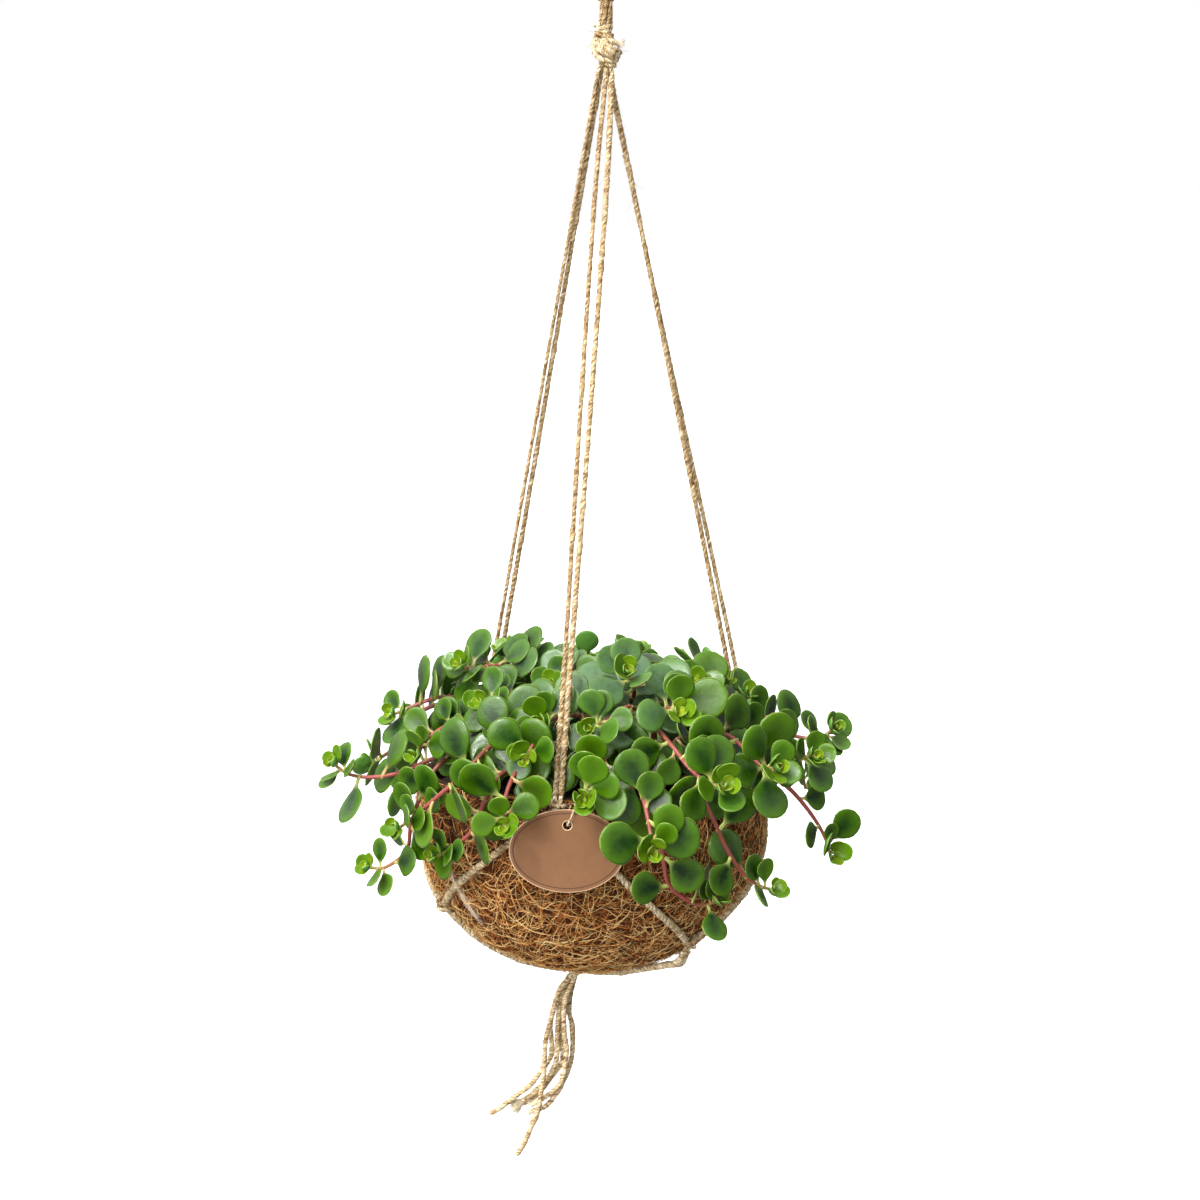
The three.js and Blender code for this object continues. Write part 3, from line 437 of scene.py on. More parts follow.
def pale_fibre_material():
    """The few greyish, shiny fibres that lie in the coir at the left."""
    paint = Paint("pale_fibre")
    streak = paint.noise(paint.given("grain", "Vector"), (3, 3, 0.4))
    shade = paint.ramp(streak, [(0.35, 0.66, 0.57, 0.47), (0.7, 0.95, 0.91, 0.85)])
    return paint.finish(shade, paint.span(streak, 0.3, 0.7, 0.25, 0.45))


def soil_material():
    paint = Paint("soil")
    place = paint.place()
    grains = paint.noise(place, 0.9, 5.0, 0.7)
    damp = paint.noise(place, 0.06, 2.0)
    shade = paint.ramp(grains, [(0.3, 0.10, 0.07, 0.05), (0.55, 0.21, 0.15, 0.10),
                                (0.75, 0.38, 0.28, 0.19)])
    return paint.finish(shade, paint.span(damp, 0.3, 0.7, 0.7, 0.98), grains, 0.7)


def leaf_material():
    """Glossy green, lime at the stems' tips, paler below, with a thin rim and, near the crown, a painted
    bluish sheen that stands for the sky's reflection.
    """
    paint = Paint("leaf")
    along, edge, side = paint.split(paint.given("leaf_place", "Vector"))
    age, tone, sky_sheen = paint.split(paint.given("leaf_kind", "Vector"))
    place = paint.place()
    mottle = paint.noise(place, 0.22)
    fine = paint.noise(place, 1.6)
    shade = paint.ramp(age, [(0.0, 0.64, 0.69, 0.18), (0.14, 0.48, 0.58, 0.09), (0.3, 0.30, 0.45, 0.03),
                             (0.6, 0.075, 0.215, 0.0), (1.0, 0.045, 0.15, 0.0)])
    lighter = paint.maths("MULTIPLY", paint.span(tone, 0.5, 1.0, 0.0, 0.75), age)
    shade = paint.mix(lighter, shade, (0.32, 0.44, 0.03))
    darker = paint.maths("MULTIPLY", paint.span(tone, 0.5, 0.0, 0.0, 0.8), age)
    shade = paint.mix(darker, shade, (0.03, 0.13, 0.01))
    shade = paint.mix(paint.span(mottle, 0.4, 0.75, 0.0, 0.3), shade, (0.19, 0.35, 0.02))
    # Lighter towards the rim: partly the blade's own paler margin, partly painted shading that keeps the
    # middle darker.
    shade = paint.mix(paint.span(edge, 0.05, 0.97, 0.0, 0.52), shade, (0.33, 0.50, 0.05))
    # Painted reflection: a bluish-grey sheen on the leaves near the crown that face up.
    painted_sheen = paint.maths("MULTIPLY", sky_sheen, paint.span(mottle, 0.2, 0.6, 0.5, 1.0))
    shade = paint.mix(painted_sheen, shade, (0.39, 0.51, 0.38))
    under = paint.mix(paint.span(fine, 0.3, 0.7), (0.26, 0.46, 0.16), (0.36, 0.52, 0.22))
    shade = paint.mix(paint.span(side, 0.5, 0.45), shade, under)
    foot = paint.mix(paint.span(tone, 0.3, 0.8), (0.70, 0.74, 0.40), (0.74, 0.62, 0.42))
    shade = paint.mix(paint.span(along, 0.32, 0.12, 0.0, 0.85), shade, foot)
    rim = paint.mix(paint.span(tone, 0.4, 0.9), (0.66, 0.75, 0.34), (0.68, 0.60, 0.36))
    shade = paint.mix(paint.span(edge, 0.955, 0.995, 0.0, 0.7), shade, rim)
    roughness = paint.span(paint.maths("ADD", painted_sheen, fine), 0.4, 1.4, 0.19, 0.38)
    relief = paint.maths("ADD", mottle, paint.maths("MULTIPLY", fine, 0.3))
    return paint.finish(shade, roughness, relief, 0.5, 0.5, specular=0.38)


def stem_material():
    paint = Paint("stem")
    streak = paint.noise(paint.given("grain", "Vector"), (1.6, 1.6, 0.25), 4.0, 0.6)
    shade = paint.ramp(paint.given("tone"), [(0.0, 0.36, 0.23, 0.15), (0.5, 0.48, 0.25, 0.19),
                                             (0.85, 0.60, 0.29, 0.26), (1.0, 0.55, 0.51, 0.23)])
    shade = paint.mix(paint.span(streak, 0.45, 0.75, 0.0, 0.5), shade, (0.34, 0.15, 0.11))
    return paint.finish(shade, paint.span(streak, 0.3, 0.7, 0.38, 0.55), streak, 0.3)


TAG_BORDER = 2.4                    # how far in from the edge the tag's border line runs


def tag_material():
    """Kraft-brown card with a printed border line and paler cut edges."""
    paint = Paint("tag_card")
    face = paint.given("card", "Vector")
    x, y, _ = paint.split(face)

    def reach(wide, high, up=0.0):
        """How far out a place lies, 1 on an oval of that size."""
        across = paint.maths("DIVIDE", x, wide)
        over = paint.maths("DIVIDE", paint.maths("SUBTRACT", y, up), high)
        squares = [paint.maths("MULTIPLY", share, share) for share in (across, over)]
        return paint.maths("SQRT", paint.maths("ADD", *squares))

    mottle = paint.noise(face, (0.12, 0.12, 0), 4.0, 0.6)
    fibre = paint.noise(face, (1.6, 3.2, 0), 4.0, 0.7)
    shade = paint.ramp(fibre, [(0.25, 0.37, 0.24, 0.13), (0.5, 0.46, 0.31, 0.18), (0.8, 0.52, 0.36, 0.23)])
    shade = paint.mix(paint.span(mottle, 0.35, 0.7, 0.0, 0.4), shade, (0.41, 0.26, 0.16))
    line = reach(TAG_WIDTH / 2 - TAG_BORDER, TAG_HEIGHT / 2 - TAG_BORDER)
    off = paint.maths("ABSOLUTE", paint.maths("SUBTRACT", line, 1.0))
    shade = paint.mix(paint.span(off, 0.016, 0.008, 0.0, 0.85), shade, (0.20, 0.10, 0.06))
    edge = paint.span(reach(TAG_WIDTH / 2, TAG_HEIGHT / 2), 0.978, 0.988, 0.0, 0.75)
    hole = paint.span(reach(TAG_HOLE / 2, TAG_HOLE / 2, TAG_HOLE_UP), 1.24, 1.16, 0.0, 0.75)
    shade = paint.mix(paint.maths("MAXIMUM", edge, hole), shade, (0.86, 0.72, 0.57))
    return paint.finish(shade, paint.span(fibre, 0.3, 0.7, 0.55, 0.75), fibre, 0.12)


JUTE = jute_material()
COIR_FIBRE = coir_fibre_material()
COIR_FELT = coir_felt_material()
PALE_FIBRE = pale_fibre_material()
SOIL = soil_material()
LEAF = leaf_material()
STEM_SKIN = stem_material()
TAG_CARD = tag_material()


def show(piece, slot, *nodes):
    """The piece rides on the one body and may stand for CAD nodes, which it hides. Its slot is not used."""
    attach(piece, "root")
    if nodes:
        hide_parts(*nodes)
    return piece


# ---- Places on the bowl ----


def polar(azimuth, radius, z):
    turn = math.radians(azimuth)
    return np.array([radius * math.sin(turn), -radius * math.cos(turn), z])


def bowl_radius(height):
    """The bowl's outer radius at a height above its base."""
    if height >= BOWL_WIDEST_HEIGHT:
        share = (height - BOWL_WIDEST_HEIGHT) / (BOWL_HEIGHT - BOWL_WIDEST_HEIGHT)
        return BOWL_RADIUS - BOWL_RIM_LEAN * share * share
    rise = 1 - max(0, height) / BOWL_WIDEST_HEIGHT
    return BOWL_RADIUS * math.sqrt(1 - rise**BOWL_ROUNDNESS)


def bowl_height(radius):
    """How high above the base the underside is at a radius."""
    share = min(1, radius / BOWL_RADIUS)
    return BOWL_WIDEST_HEIGHT * (1 - (1 - share * share) ** (1 / BOWL_ROUNDNESS))


def off_wall(azimuth, height, stand_off):
    """A place that stands off the bowl's side, square to it."""
    lean = bowl_radius(height + 0.5) - bowl_radius(height - 0.5)
    size = math.hypot(1, lean)
    z = BOWL_BASE_Z + height - (stand_off * lean) / size
    return polar(azimuth, bowl_radius(height) + stand_off / size, z)


def off_underside(azimuth, radius, stand_off):
    """A place that stands off the bowl's underside, square to it."""
    rise = bowl_height(radius + 0.5) - bowl_height(radius - 0.5)
    size = math.hypot(1, rise)
    z = BOWL_BASE_Z + bowl_height(radius) - stand_off / size
    return polar(azimuth, radius + (stand_off * rise) / size, z)


def rim_knot_centre(name):
    radius = bowl_radius(RIM_KNOT_HEIGHT) + KNOT_STAND_OFF
    return polar(RIM_KNOTS[name], radius, BOWL_BASE_Z + RIM_KNOT_HEIGHT)


def side_knot_centre(name):
    azimuth, height, _ = SIDE_KNOTS[name]
    return polar(azimuth, bowl_radius(height) + KNOT_STAND_OFF, BOWL_BASE_Z + height)


def between(points, start, start_reach, end, end_reach):
    """The stretch of a route that lies clear of the knots at its two ends."""
    fine = spaced(points, 160)
    clear = [p for p in fine
             if np.linalg.norm(p - start) > start_reach and np.linalg.norm(p - end) > end_reach]
    picks = 8
    return np.array([clear[int(i * (len(clear) - 1) / picks + 0.5)] for i in range(picks + 1)])


def soil_top(radius):
    share = radius / (BOWL_RADIUS - BOWL_WALL)
    return SOIL_EDGE_Z + SOIL_CROWN * (1 - share * share)


# ---- Strand routes ----

PAIRS = {
    "front": ((2.6, -3.6, HANGER_TOP_Z), (90, 90), (8.8, 2.4)),
    "right": ((2.8, 1.2, HANGER_TOP_Z), (198, 114), (3.4, 7)),
    "left": ((-3.2, 1.6, HANGER_TOP_Z), (150, 92), (3.8, 4.6)),
}
NET = [("front", "left", 6.5), ("front", "right", 12.5), ("right", "right", 9),
       ("right", "back", 8), ("left", "back", 8), ("left", "left", 7)]
UNDER = [("left", -1), ("left", 1), ("right", -1), ("right", 1), ("back", -1), ("back", 1)]

# The loose tails, from the bottom knot to their cut ends.
TAILS = [
    [[-11.3, -3.3, -630.8], [-17.4, -4.2, -638.7], [-20.5, -5, -650.4], [-23.9, -5.6, -663.3],
     [-25.3, -6, -671.9], [-25.5, -6, -683.1], [-25.8, -5.8, -691.8], [-27.1, -5.4, -700.6],
     [-28.7, -5, -712], [-32.8, -4.6, -722.7], [-36.3, -4.2, -732.3], [-40.9, -4, -740.5]],
    [[-11.3, 3.3, -630.8], [-18.6, 3, -644.1], [-22.3, 2.6, -659.6], [-21.7, 2.2, -668.8],
     [-21.1, 1.6, -677.3], [-22.8, 1, -682.8], [-28.3, 0, -690.2], [-33.7, -0.4, -698.3],
     [-41.1, -0.4, -704], [-52.2, 0, -713.1], [-57.9, 0, -716.3]],
    [[-11.3, 0, -630.8], [-16.4, -1, -646.9], [-17.8, -1.4, -658.6], [-18.1, -1.6, -669.7],
     [-18.1, -1.6, -680.3], [-20.4, -0.6, -688], [-24.4, 1, -695.9], [-28.6, 2.6, -700.8],
     [-33.4, 3.4, -705.4], [-38.9, 4, -709.4]],
    [[-8.1, 0, -630.8], [-12.2, 2, -645.6], [-14.9, 2.4, -655.7], [-15.6, 2.2, -666.8], [-14.5, 2.2, -678],
     [-15.3, 2.6, -684.9], [-19, 3.6, -690.9], [-24.4, 4.8, -698.8], [-29.2, 6, -704.8],
     [-34.7, 7, -710.1], [-40.1, 7.4, -712.2]],
    [[-8.1, -3.3, -630.8], [-13.8, -4.4, -645.4], [-13.8, -3.4, -663], [-12.2, -2.6, -676.2],
     [-13.4, -2, -686.9], [-15.5, -1.4, -696.4], [-20.6, -0.6, -702.3], [-27.9, 0, -707.6],
     [-32.1, 0.4, -710.3]],
    [[-8.1, 3.3, -630.8], [-10.3, 4.6, -642.4], [-11.1, 5.2, -653.1], [-9.2, 5, -661.7],
     [-8.6, 4.4, -672.8], [-9.3, 4, -682.7], [-11.5, 3.4, -690.7], [-15.1, 2.8, -698.7],
     [-18.7, 2, -704.8], [-24.2, 1.4, -711.6], [-32.9, 1, -715.1]],
]


def hanger_route(name, side):
    """From the top knot to a knot at the rim. The two strands of a pair part between, and turn round."""
    top, (first_turn, last_turn), (high, low) = PAIRS[name]
    top, knot = np.array(top, float), rim_knot_centre(name)
    end = knot + (top - knot) * (KNOT_REACH + GAP) / np.linalg.norm(top - knot)
    steps = 8
    points = []
    for i in range(steps + 1):
        share = i / steps
        widest = high * (1 - share) + low * share
        width = PAIR_SPACING + (widest - PAIR_SPACING) * math.sqrt(max(0, math.sin(math.pi * share)))
        spread = polar(first_turn * (1 - share) + last_turn * share, side * width / 2, 0)
        points.append(top + (end - top) * share + spread)
    return np.array(points)


def net_route(rim, side, dip):
    """Over the bowl's side, from a knot at the rim to a lower one, sagging by dip."""
    target, low, _ = SIDE_KNOTS[side]
    start = RIM_KNOTS[rim]
    end = target + 360 * math.floor((start - target) / 360 + 0.5)
    steps = 10
    points = []
    for i in range(steps + 1):
        share = i / steps
        height = RIM_KNOT_HEIGHT * (1 - share) + low * share - dip * math.sin(math.pi * share)
        stand_off = NET_STAND_OFF + (KNOT_STAND_OFF - NET_STAND_OFF) * (2 * share - 1) ** 4
        points.append(off_wall(start * (1 - share) + end * share, height, stand_off))
    reach = KNOT_REACH + GAP
    return between(points, rim_knot_centre(rim), reach, side_knot_centre(side), reach)


def under_route(side, lane):
    """Under the bowl, from a lower knot to the one at the bottom, beside the other strand of its pair."""
    azimuth, _, slack = SIDE_KNOTS[side]
    knot = side_knot_centre(side)
    across = polar(azimuth + 90, lane * PAIR_SPACING / 2, 0)
    steps = 8
    points = []
    for i in range(steps + 1):
        share = i / steps
        x, y, _ = knot * (1 - share) + np.array(BOTTOM_KNOT) * share + across
        fall = share / SLACK_SHARE
        hang = NET_STAND_OFF + slack * fall * math.exp(1 - fall)
        points.append(off_underside(math.degrees(math.atan2(x, -y)), math.hypot(x, y), hang))
    points[0] = knot + across
    reach = BOTTOM_KNOT_REACH + GAP + 0.4
    return between(points, knot, KNOT_REACH + GAP + 0.1, np.array(BOTTOM_KNOT, float), reach)


# ---- Twisted jute ----

PLY_LAY = 11.5                      # length in which a ply turns once round its strand
PLY_STEP = 1.1
PLY_FULLNESS = 1.16                 # how far the plies press into each other
TAIL_LAY = 6.5
LOOP_LAY = 24
BUNDLE_TONE = (0.2, 0.5)            # the strands above the top knot are darker than those below it
PLY_OUT = {2: 0.5, 3: 0.46}         # how far out each of so many plies winds, as a share of the radius
PLY_SWELL, PLY_DRIFT = 0.16, 0.06   # how much a ply's thickness and its place change along it
PLY_TONE_DRIFT = 0.12
SLUB, SLUB_SPACING = 0.35, 36       # how much thicker a slub is, and how far apart they are
SLUB_LENGTH = 2.5
NET_FULLNESS = 1.6                  # how much thicker the loose twine of the net looks than its core
NET_TONE = 0.52
TAIL_FULLNESS = 1.25
TAIL_TONE = (0.38, 0.55)
HANGERS = {                         # fullness and tone of each strand
    ("front", -1): (1.1, 0.36), ("front", 1): (1.25, 0.42), ("right", -1): (1.15, 0.38),
    ("right", 1): (1.05, 0.44), ("left", -1): (0.9, 0.3), ("left", 1): (1.15, 0.4),
}
WISPY_SHARE = 0.42                  # the share of the front strands that has many long wisps
HAIRS_PER_MM = 2.0
WISPS_PER_MM = 0.05


def add_twine(shape, path, thickness, rng, start=0.0, plies=3, lay=PLY_LAY, sides=7, tone=(0.35, 0.75)):
    """Plies twisted round each other along a path. start is the length that has gone before."""
    ply = thickness * (0.5 - PLY_OUT[plies] / 2) * PLY_FULLNESS
    _, normal, other = frames(path)
    run = run_of(path) + start
    own = rng.uniform(*tone)
    places = rng.uniform(run[0], run[-1], int((run[-1] - run[0]) / SLUB_SPACING))
    slubs = sum((SLUB * np.exp(-(((run - at) / SLUB_LENGTH) ** 2)) for at in places), np.zeros(len(run)))
    for k in range(plies):
        turn = math.tau * (run / lay + k / plies)
        swell = 1 + PLY_SWELL * wobble(run + 50 * k, rng, 5, 2.0, 18.0) + slubs
        reach = (thickness / 2 - ply) * (1 + PLY_DRIFT * wobble(run + 20 * k, rng))
        centre = path + reach[:, None] * around(turn, normal, other)
        tones = own + rng.uniform(-0.06, 0.06) + PLY_TONE_DRIFT * wobble(run + 30 * k, rng)
        add_tube(shape, centre, ply * swell, sides, -0.9, tones, core=path, core_radius=thickness / 2)


def add_fuzz(shape, path, thickness, rng, per_mm=HAIRS_PER_MM, longest=5.0, wisps=WISPS_PER_MM):
    """Loose ends of fibre that stand off a strand: most short and nearly along it, and a few long wisps."""
    tangent, normal, other = frames(path)
    run = run_of(path)[-1]
    short, long = max(4, int(run * per_mm)), int(run * wisps + rng.random())
    count = short + long
    at = rng.integers(0, len(path), count)
    out = around(rng.uniform(0, math.tau, count), normal[at], other[at])
    along = tangent[at] * rng.choice([-1, 1], count)[:, None]
    length = 1.0 + (longest - 1.0) * rng.random(count) ** 3
    length[short:] = rng.uniform(1.2, 2.6, long) * longest
    rise = rng.uniform(0.12, 0.6, count)
    curl = rng.normal(0, 0.22, (count, 3))
    curl[short:] *= 1.6
    places = np.linspace(0, 1, 6)[None, :, None]
    bend = out[:, None] * rise[:, None, None] * (places - 0.45 * places**2) + curl[:, None] * places**2
    paths = path[at][:, None] + out[:, None] * thickness * 0.42
    paths = paths + length[:, None, None] * (along[:, None] * places * 0.9 + bend * 0.8)
    across = unit(np.cross(along, out))[:, None]
    add_hairs(shape, paths, rng.uniform(0.05, 0.1, count), rng.uniform(0.5, 1.0, count), across)


def strand_piece(kind, path, start, rng, fullness, tone, wispy=0.0):
    """A taut strand. wispy is the share of it, at its lower end, that has many long wisps."""
    shape = Shape()
    add_twine(shape, path, CORD * fullness, rng, start, tone=(tone - 0.03, tone + 0.03))
    add_fuzz(shape, path, CORD * fullness, rng)
    if wispy:
        add_fuzz(shape, path[-int(len(path) * wispy):], CORD, rng, 0.5, 5.0, 0.35)
    show(shape.make(f"twine_{kind}", [JUTE]), "jute", kind)


# How the end of each tail is frayed: length, spread and count of its loose fibres.
FRAYS = [(2.5, 0.1, 120), (2.5, 0.12, 120), (9, 0.5, 620), (7, 0.4, 260), (4, 0.3, 120), (4, 0.3, 120)]


def tail_piece(number, route, rng):
    """A loose tail as a cord, with its fuzz and frayed end as a piece that goes with it."""
    path = smooth_path(route, PLY_STEP)
    strand = Shape()
    add_twine(strand, path, CORD * TAIL_FULLNESS, rng, lay=TAIL_LAY, tone=TAIL_TONE)
    tail = show(strand.make(f"twine_tail_{number}", [JUTE]), "jute", f"tail_{number}")
    fray = Shape()
    add_fuzz(fray, path, CORD, rng, 1.0, 4.0)
    length, spread, count = FRAYS[number - 1]
    add_fray(fray, path, rng, length, spread, count)
    fluff = show(fray.make(f"fray_tail_{number}", [JUTE]), "jute")
    run_of(path)[-1] * MM


def add_fray(shape, path, rng, length, spread, count):
    """The cut end, where the plies come apart into a pale brush."""
    end, along = path[-1], unit(path[-1] - path[-4])
    _, normal, other = frames(path[-6:])
    turn = rng.uniform(0, math.tau, count)
    share = np.sqrt(rng.random(count))
    out = around(turn, normal[-1], other[-1])
    places = np.linspace(0, 1, 5)[None, :, None]
    splay = (spread * share * rng.uniform(0.6, 1.4, count))[:, None, None]
    size = (length * rng.uniform(0.55, 1.0, count))[:, None, None]
    paths = (end - along * 1.2)[None, None] + (out * share[:, None] * CORD * 0.42)[:, None]
    paths = paths + size * (along * places + out[:, None] * splay * places**1.3)
    paths = paths + rng.normal(0, 0.05 * length, (count, 1, 3)) * places**2
    up = unit(np.cross(along[None], out))[:, None]
    add_hairs(shape, paths, rng.uniform(0.12, 0.22, count), rng.uniform(0.8, 1.15, count), up)


for number, route in enumerate(TAILS, 1):
    tail_piece(number, route, seeded(number))

# Each strand runs on through its knots: hanger, rim knot, net, side knot, underside, bottom knot, tail.
# A row is its pair and side at the top, and where it goes on in NET and in UNDER, which has TAILS' order.
STRANDS = [("front", -1, 0, 0), ("front", 1, 1, 2), ("right", -1, 2, 3),
           ("right", 1, 3, 4), ("left", -1, 5, 1), ("left", 1, 4, 5)]
CORE_REACH = 2.6                    # where the strands enter the top knot from above
CORE_TOP_Z = -60.5


def through(before, after, centre, bulge=0.0):
    """A path inside a knot, from the end of one stretch to the start of the next."""
    start, end = before[-1], after[0]
    inward, onward = unit(start - before[-3]), unit(after[min(2, len(after) - 1)] - end)
    middle = (start + end) / 2 * 0.35 + centre * 0.65 + bulge
    points = [start - inward * 0.1, start + inward * 1.5, middle, end - onward * 1.5, end + onward * 0.1]
    return smooth_path(points, PLY_STEP)


def wrap_path(centre, axis, radius, rounds, pitch, phase):
    """Turns of a strand round an axis, as a helix with its two ends tucked in."""
    axis = unit(axis)
    side = unit(np.cross(axis, (0.3, 0.2, 1) if abs(axis[2]) < 0.8 else (1, 0.2, 0)))
    count = max(12, int(math.tau * radius * rounds))
    t = np.linspace(0, rounds, count)
    tuck = 1 - 0.3 * np.exp(-((t / 0.08) ** 2)) - 0.3 * np.exp(-(((rounds - t) / 0.08) ** 2))
    flat = around(math.tau * t + phase, side, np.cross(axis, side))
    climb = (t / rounds - 0.5) * pitch * rounds
    return np.array(centre, float) + (radius * tuck)[:, None] * flat + climb[:, None] * axis


def knot_piece(key, node, wraps, rng):
    """A small knot: the strands that run on through it, and short turns of twine round them."""
    shape = Shape()
    for path in [*cores[key], *wraps]:
        add_twine(shape, path, CORD, rng, rng.uniform(0, 10))
        add_fuzz(shape, path, CORD, rng, 1.6)
    show(shape.make(f"knot_{key}", [JUTE]), "jute", node)


def make_net_and_hangers():
    """The taut strands piece by piece, and the stretches that they run through inside the knots."""
    cores = {key: [] for key in ("top", "bottom", "rim_front", "rim_right", "rim_left",
                                 "side_left", "side_right", "side_back")}
    routes = {"net": {}, "under": {}}
    for index, (name, side, net, under) in enumerate(STRANDS):
        rng = seeded(100 + index)
        hanger = smooth_path(hanger_route(name, side), PLY_STEP)
        lane = smooth_path(net_route(*NET[net]), PLY_STEP)
        below = smooth_path(under_route(*UNDER[under]), PLY_STEP)
        letter = "a" if side < 0 else "b"
        wispy = WISPY_SHARE if name == "front" else 0.0
        strand_piece(f"hanger_{name}_{letter}", hanger, 0, rng, *HANGERS[name, side], wispy)
        strand_piece(f"net_{net + 1}", lane, 3, rng, NET_FULLNESS, NET_TONE)
        strand_piece(f"under_{under + 1}", below, 5, rng, NET_FULLNESS, NET_TONE)
        routes["net"][net] = lane
        routes["under"][under] = below
        target = NET[net][1]
        out = unit(rim_knot_centre(name) * (1, 1, 0)) * side
        cores[f"rim_{name}"].append(through(hanger, lane, rim_knot_centre(name), out * 0.4))
        cores[f"side_{target}"].append(through(lane, below, side_knot_centre(target), out * 0.3))
        cores["bottom"].append(through(below, np.array(TAILS[under][:2]), np.array(BOTTOM_KNOT, float)))
        turn = math.tau * index / len(STRANDS)
        foot = np.array([CORE_REACH * math.cos(turn), CORE_REACH * math.sin(turn), CORE_TOP_Z])
        cores["top"].append(through(foot + np.outer((2, 1, 0), UP), hanger, TOP_KNOT_Z * UP))
    return cores, routes


cores, routes = make_net_and_hangers()


def make_small_knots():
    """The knots at the rim, at the bowl's side and below it."""
    for name in RIM_KNOTS:
        centre = rim_knot_centre(name)
        out = unit(centre * (1, 1, 0))
        wraps = [wrap_path(centre + 1.2 * UP, (0.25, 0.1, 1), 3.9, 1.25, 2.6, 0.4),
                 wrap_path(centre - 1.6 * UP, (-0.35, 0.2, 1) + 0.2 * out, 3.7, 1.2, 2.6, 2.6)]
        knot_piece(f"rim_{name}", f"rim_knot_{name}", wraps, seeded(200 + len(name)))
    for name in SIDE_KNOTS:
        centre = side_knot_centre(name)
        out = unit(centre * (1, 1, 0))
        along = unit(np.cross(out, UP))
        wraps = [wrap_path(centre + 0.4 * out + 1.3 * UP, UP + 0.5 * along, 3.8, 1.2, 2.8, 1),
                 wrap_path(centre + 0.2 * out - 1.7 * UP, UP - 0.3 * along, 3.6, 1.2, 2.7, 4)]
        knot_piece(f"side_{name}", f"side_knot_{name}", wraps, seeded(300 + len(name)))
    centre = np.array(BOTTOM_KNOT, float)
    wraps = [wrap_path(centre, (0.1, 0.2, 1), 4.3, 1.3, 2.8, 0),
             wrap_path(centre - 2.6 * UP, (-0.3, 0.1, 1), 4.1, 1.3, 2.7, 2),
             wrap_path(centre + (0.6, 0, 1.2), (0.6, -0.3, 1), 4.2, 1.1, 2.7, 4)]
    knot_piece("bottom", "bottom_knot", wraps, seeded(400))


make_small_knots()

# The top knot: a collar, a turn that leans, a broad band of three strands that runs down to the right,
# a strand over its upper front and one down its left that ends in a low turn, as places along each.
# A collar is its centre, axis, radius, count of turns, pitch and phase.
COLLAR = ((-1.5, 0, -61), (-0.06, 0, 1), 3.7, 2.3, 2.6, 0.5)
LEANING_TURN = [(-5.6, 0.8, -64.4), (-3.4, -4.6, -64), (1.4, -5.4, -65.4), (4.6, -1.2, -67.4),
                (2, 4.4, -66.6), (-3.8, 4.2, -65.4), (-5.8, -0.6, -66.6)]
BAND = [(-6.4, 1.6, -68.4), (-5, -4, -69.4), (-0.4, -6.7, -71.8), (4.8, -5.4, -74.8), (7.9, -0.6, -76.6),
        (5, 4.6, -75.4), (-1.2, 5.8, -71.8), (-6, 3.4, -68.8)]
BAND_STEP = np.array([0.95, 0, 2.25])
LEFT_STRAND = [(-5.4, 1.6, -66.4), (-6.9, -2, -69.6), (-6.4, -4.2, -74), (-3.4, -5.2, -77.6),
               (1.4, -5.2, -79.4), (5.4, -2.4, -79.8), (5, 2.4, -79.6), (0.6, 3.4, -80),
               (-0.9, -0.2, -80.8), (1.4, -3.6, -81.6), (5, -2.8, -82), (5.6, 1, -82)]
UPPER_STRAND = [(-3.6, -1.4, -66.8), (0.4, -5.6, -67), (4.8, -5.2, -68.2), (8.2, -3.2, -69.4)]
HEART = [(0.6, 0, -63), (0.2, 0, -68), (0.6, 0, -73), (1, 0, -78), (1.2, 0, -83)]
HEART_RADIUS = 4.6
WRAP_STEP = 1.0


def make_top_knot():
    """A fat knot of turns that lean in turn to each side, with a frayed cut end at its right."""
    rng = seeded(500)
    shape = Shape()
    # A dark tube in the knot's heart: its low tone is painted shade in the gaps between the turns.
    add_tube(shape, smooth_path(HEART, 1.5), HEART_RADIUS, 12, grain_turn=0.3, tone=0.1)
    for core in cores["top"]:
        add_twine(shape, core, CORD, rng, rng.uniform(0, 10), tone=BUNDLE_TONE)
    band = [np.array(BAND) * (1, 1 - 0.06 * abs(k), 1) + k * BAND_STEP for k in (-1, 0, 1)]
    wraps = [smooth_path(places, WRAP_STEP) for places in (LEANING_TURN, LEFT_STRAND, UPPER_STRAND, *band)]
    for wrap in [wrap_path(*COLLAR), *wraps]:
        add_twine(shape, wrap, CORD * 1.12, rng, rng.uniform(0, 10), tone=(0.3, 0.65))
        add_fuzz(shape, wrap, CORD, rng, 2.5, 4.0, 0.1)
    add_fray(shape, wraps[2], rng, 4, 0.7, 110)
    show(shape.make("knot_top", [JUTE]), "jute", "top_knot")


make_top_knot()

LOOP_LINE = [(-2, 0, -44), (-5, 0, -30), (-10, 0, -20), (-10.5, 0, -9), (-6, 0, 0), (0, 0, 2.9),
             (6, 0, 0), (10.5, 0, -9), (10, 0, -20), (5, 0, -30), (2, 0, -44)]
LOOP_STRANDS = 3
LOOP_REACH = 1.45                   # from the loop's middle line to that of each strand in it
BUNDLE_FOOT_Z = -60.7
BUNDLE_TOP_Z = -40
BUNDLE_REACH = 3.0
WHIPPING = ((0, 0, -38), (0.05, 0, 1), 4.5, 2.2, 2.5, 1.0)


def bundle_line(k):
    """The middle line of one strand of the bundle between the top knot and the loop."""
    points = []
    for share in np.linspace(0, 1, 6):
        angle = math.tau * k / len(STRANDS) + 0.7 * share
        reach = BUNDLE_REACH - 0.25 * math.sin(math.pi * share)
        z = BUNDLE_FOOT_Z + share * (BUNDLE_TOP_Z - BUNDLE_FOOT_Z)
        points.append((reach * math.cos(angle) + 0.3 * math.sin(3 * share), reach * math.sin(angle), z))
    return smooth_path(points, PLY_STEP)


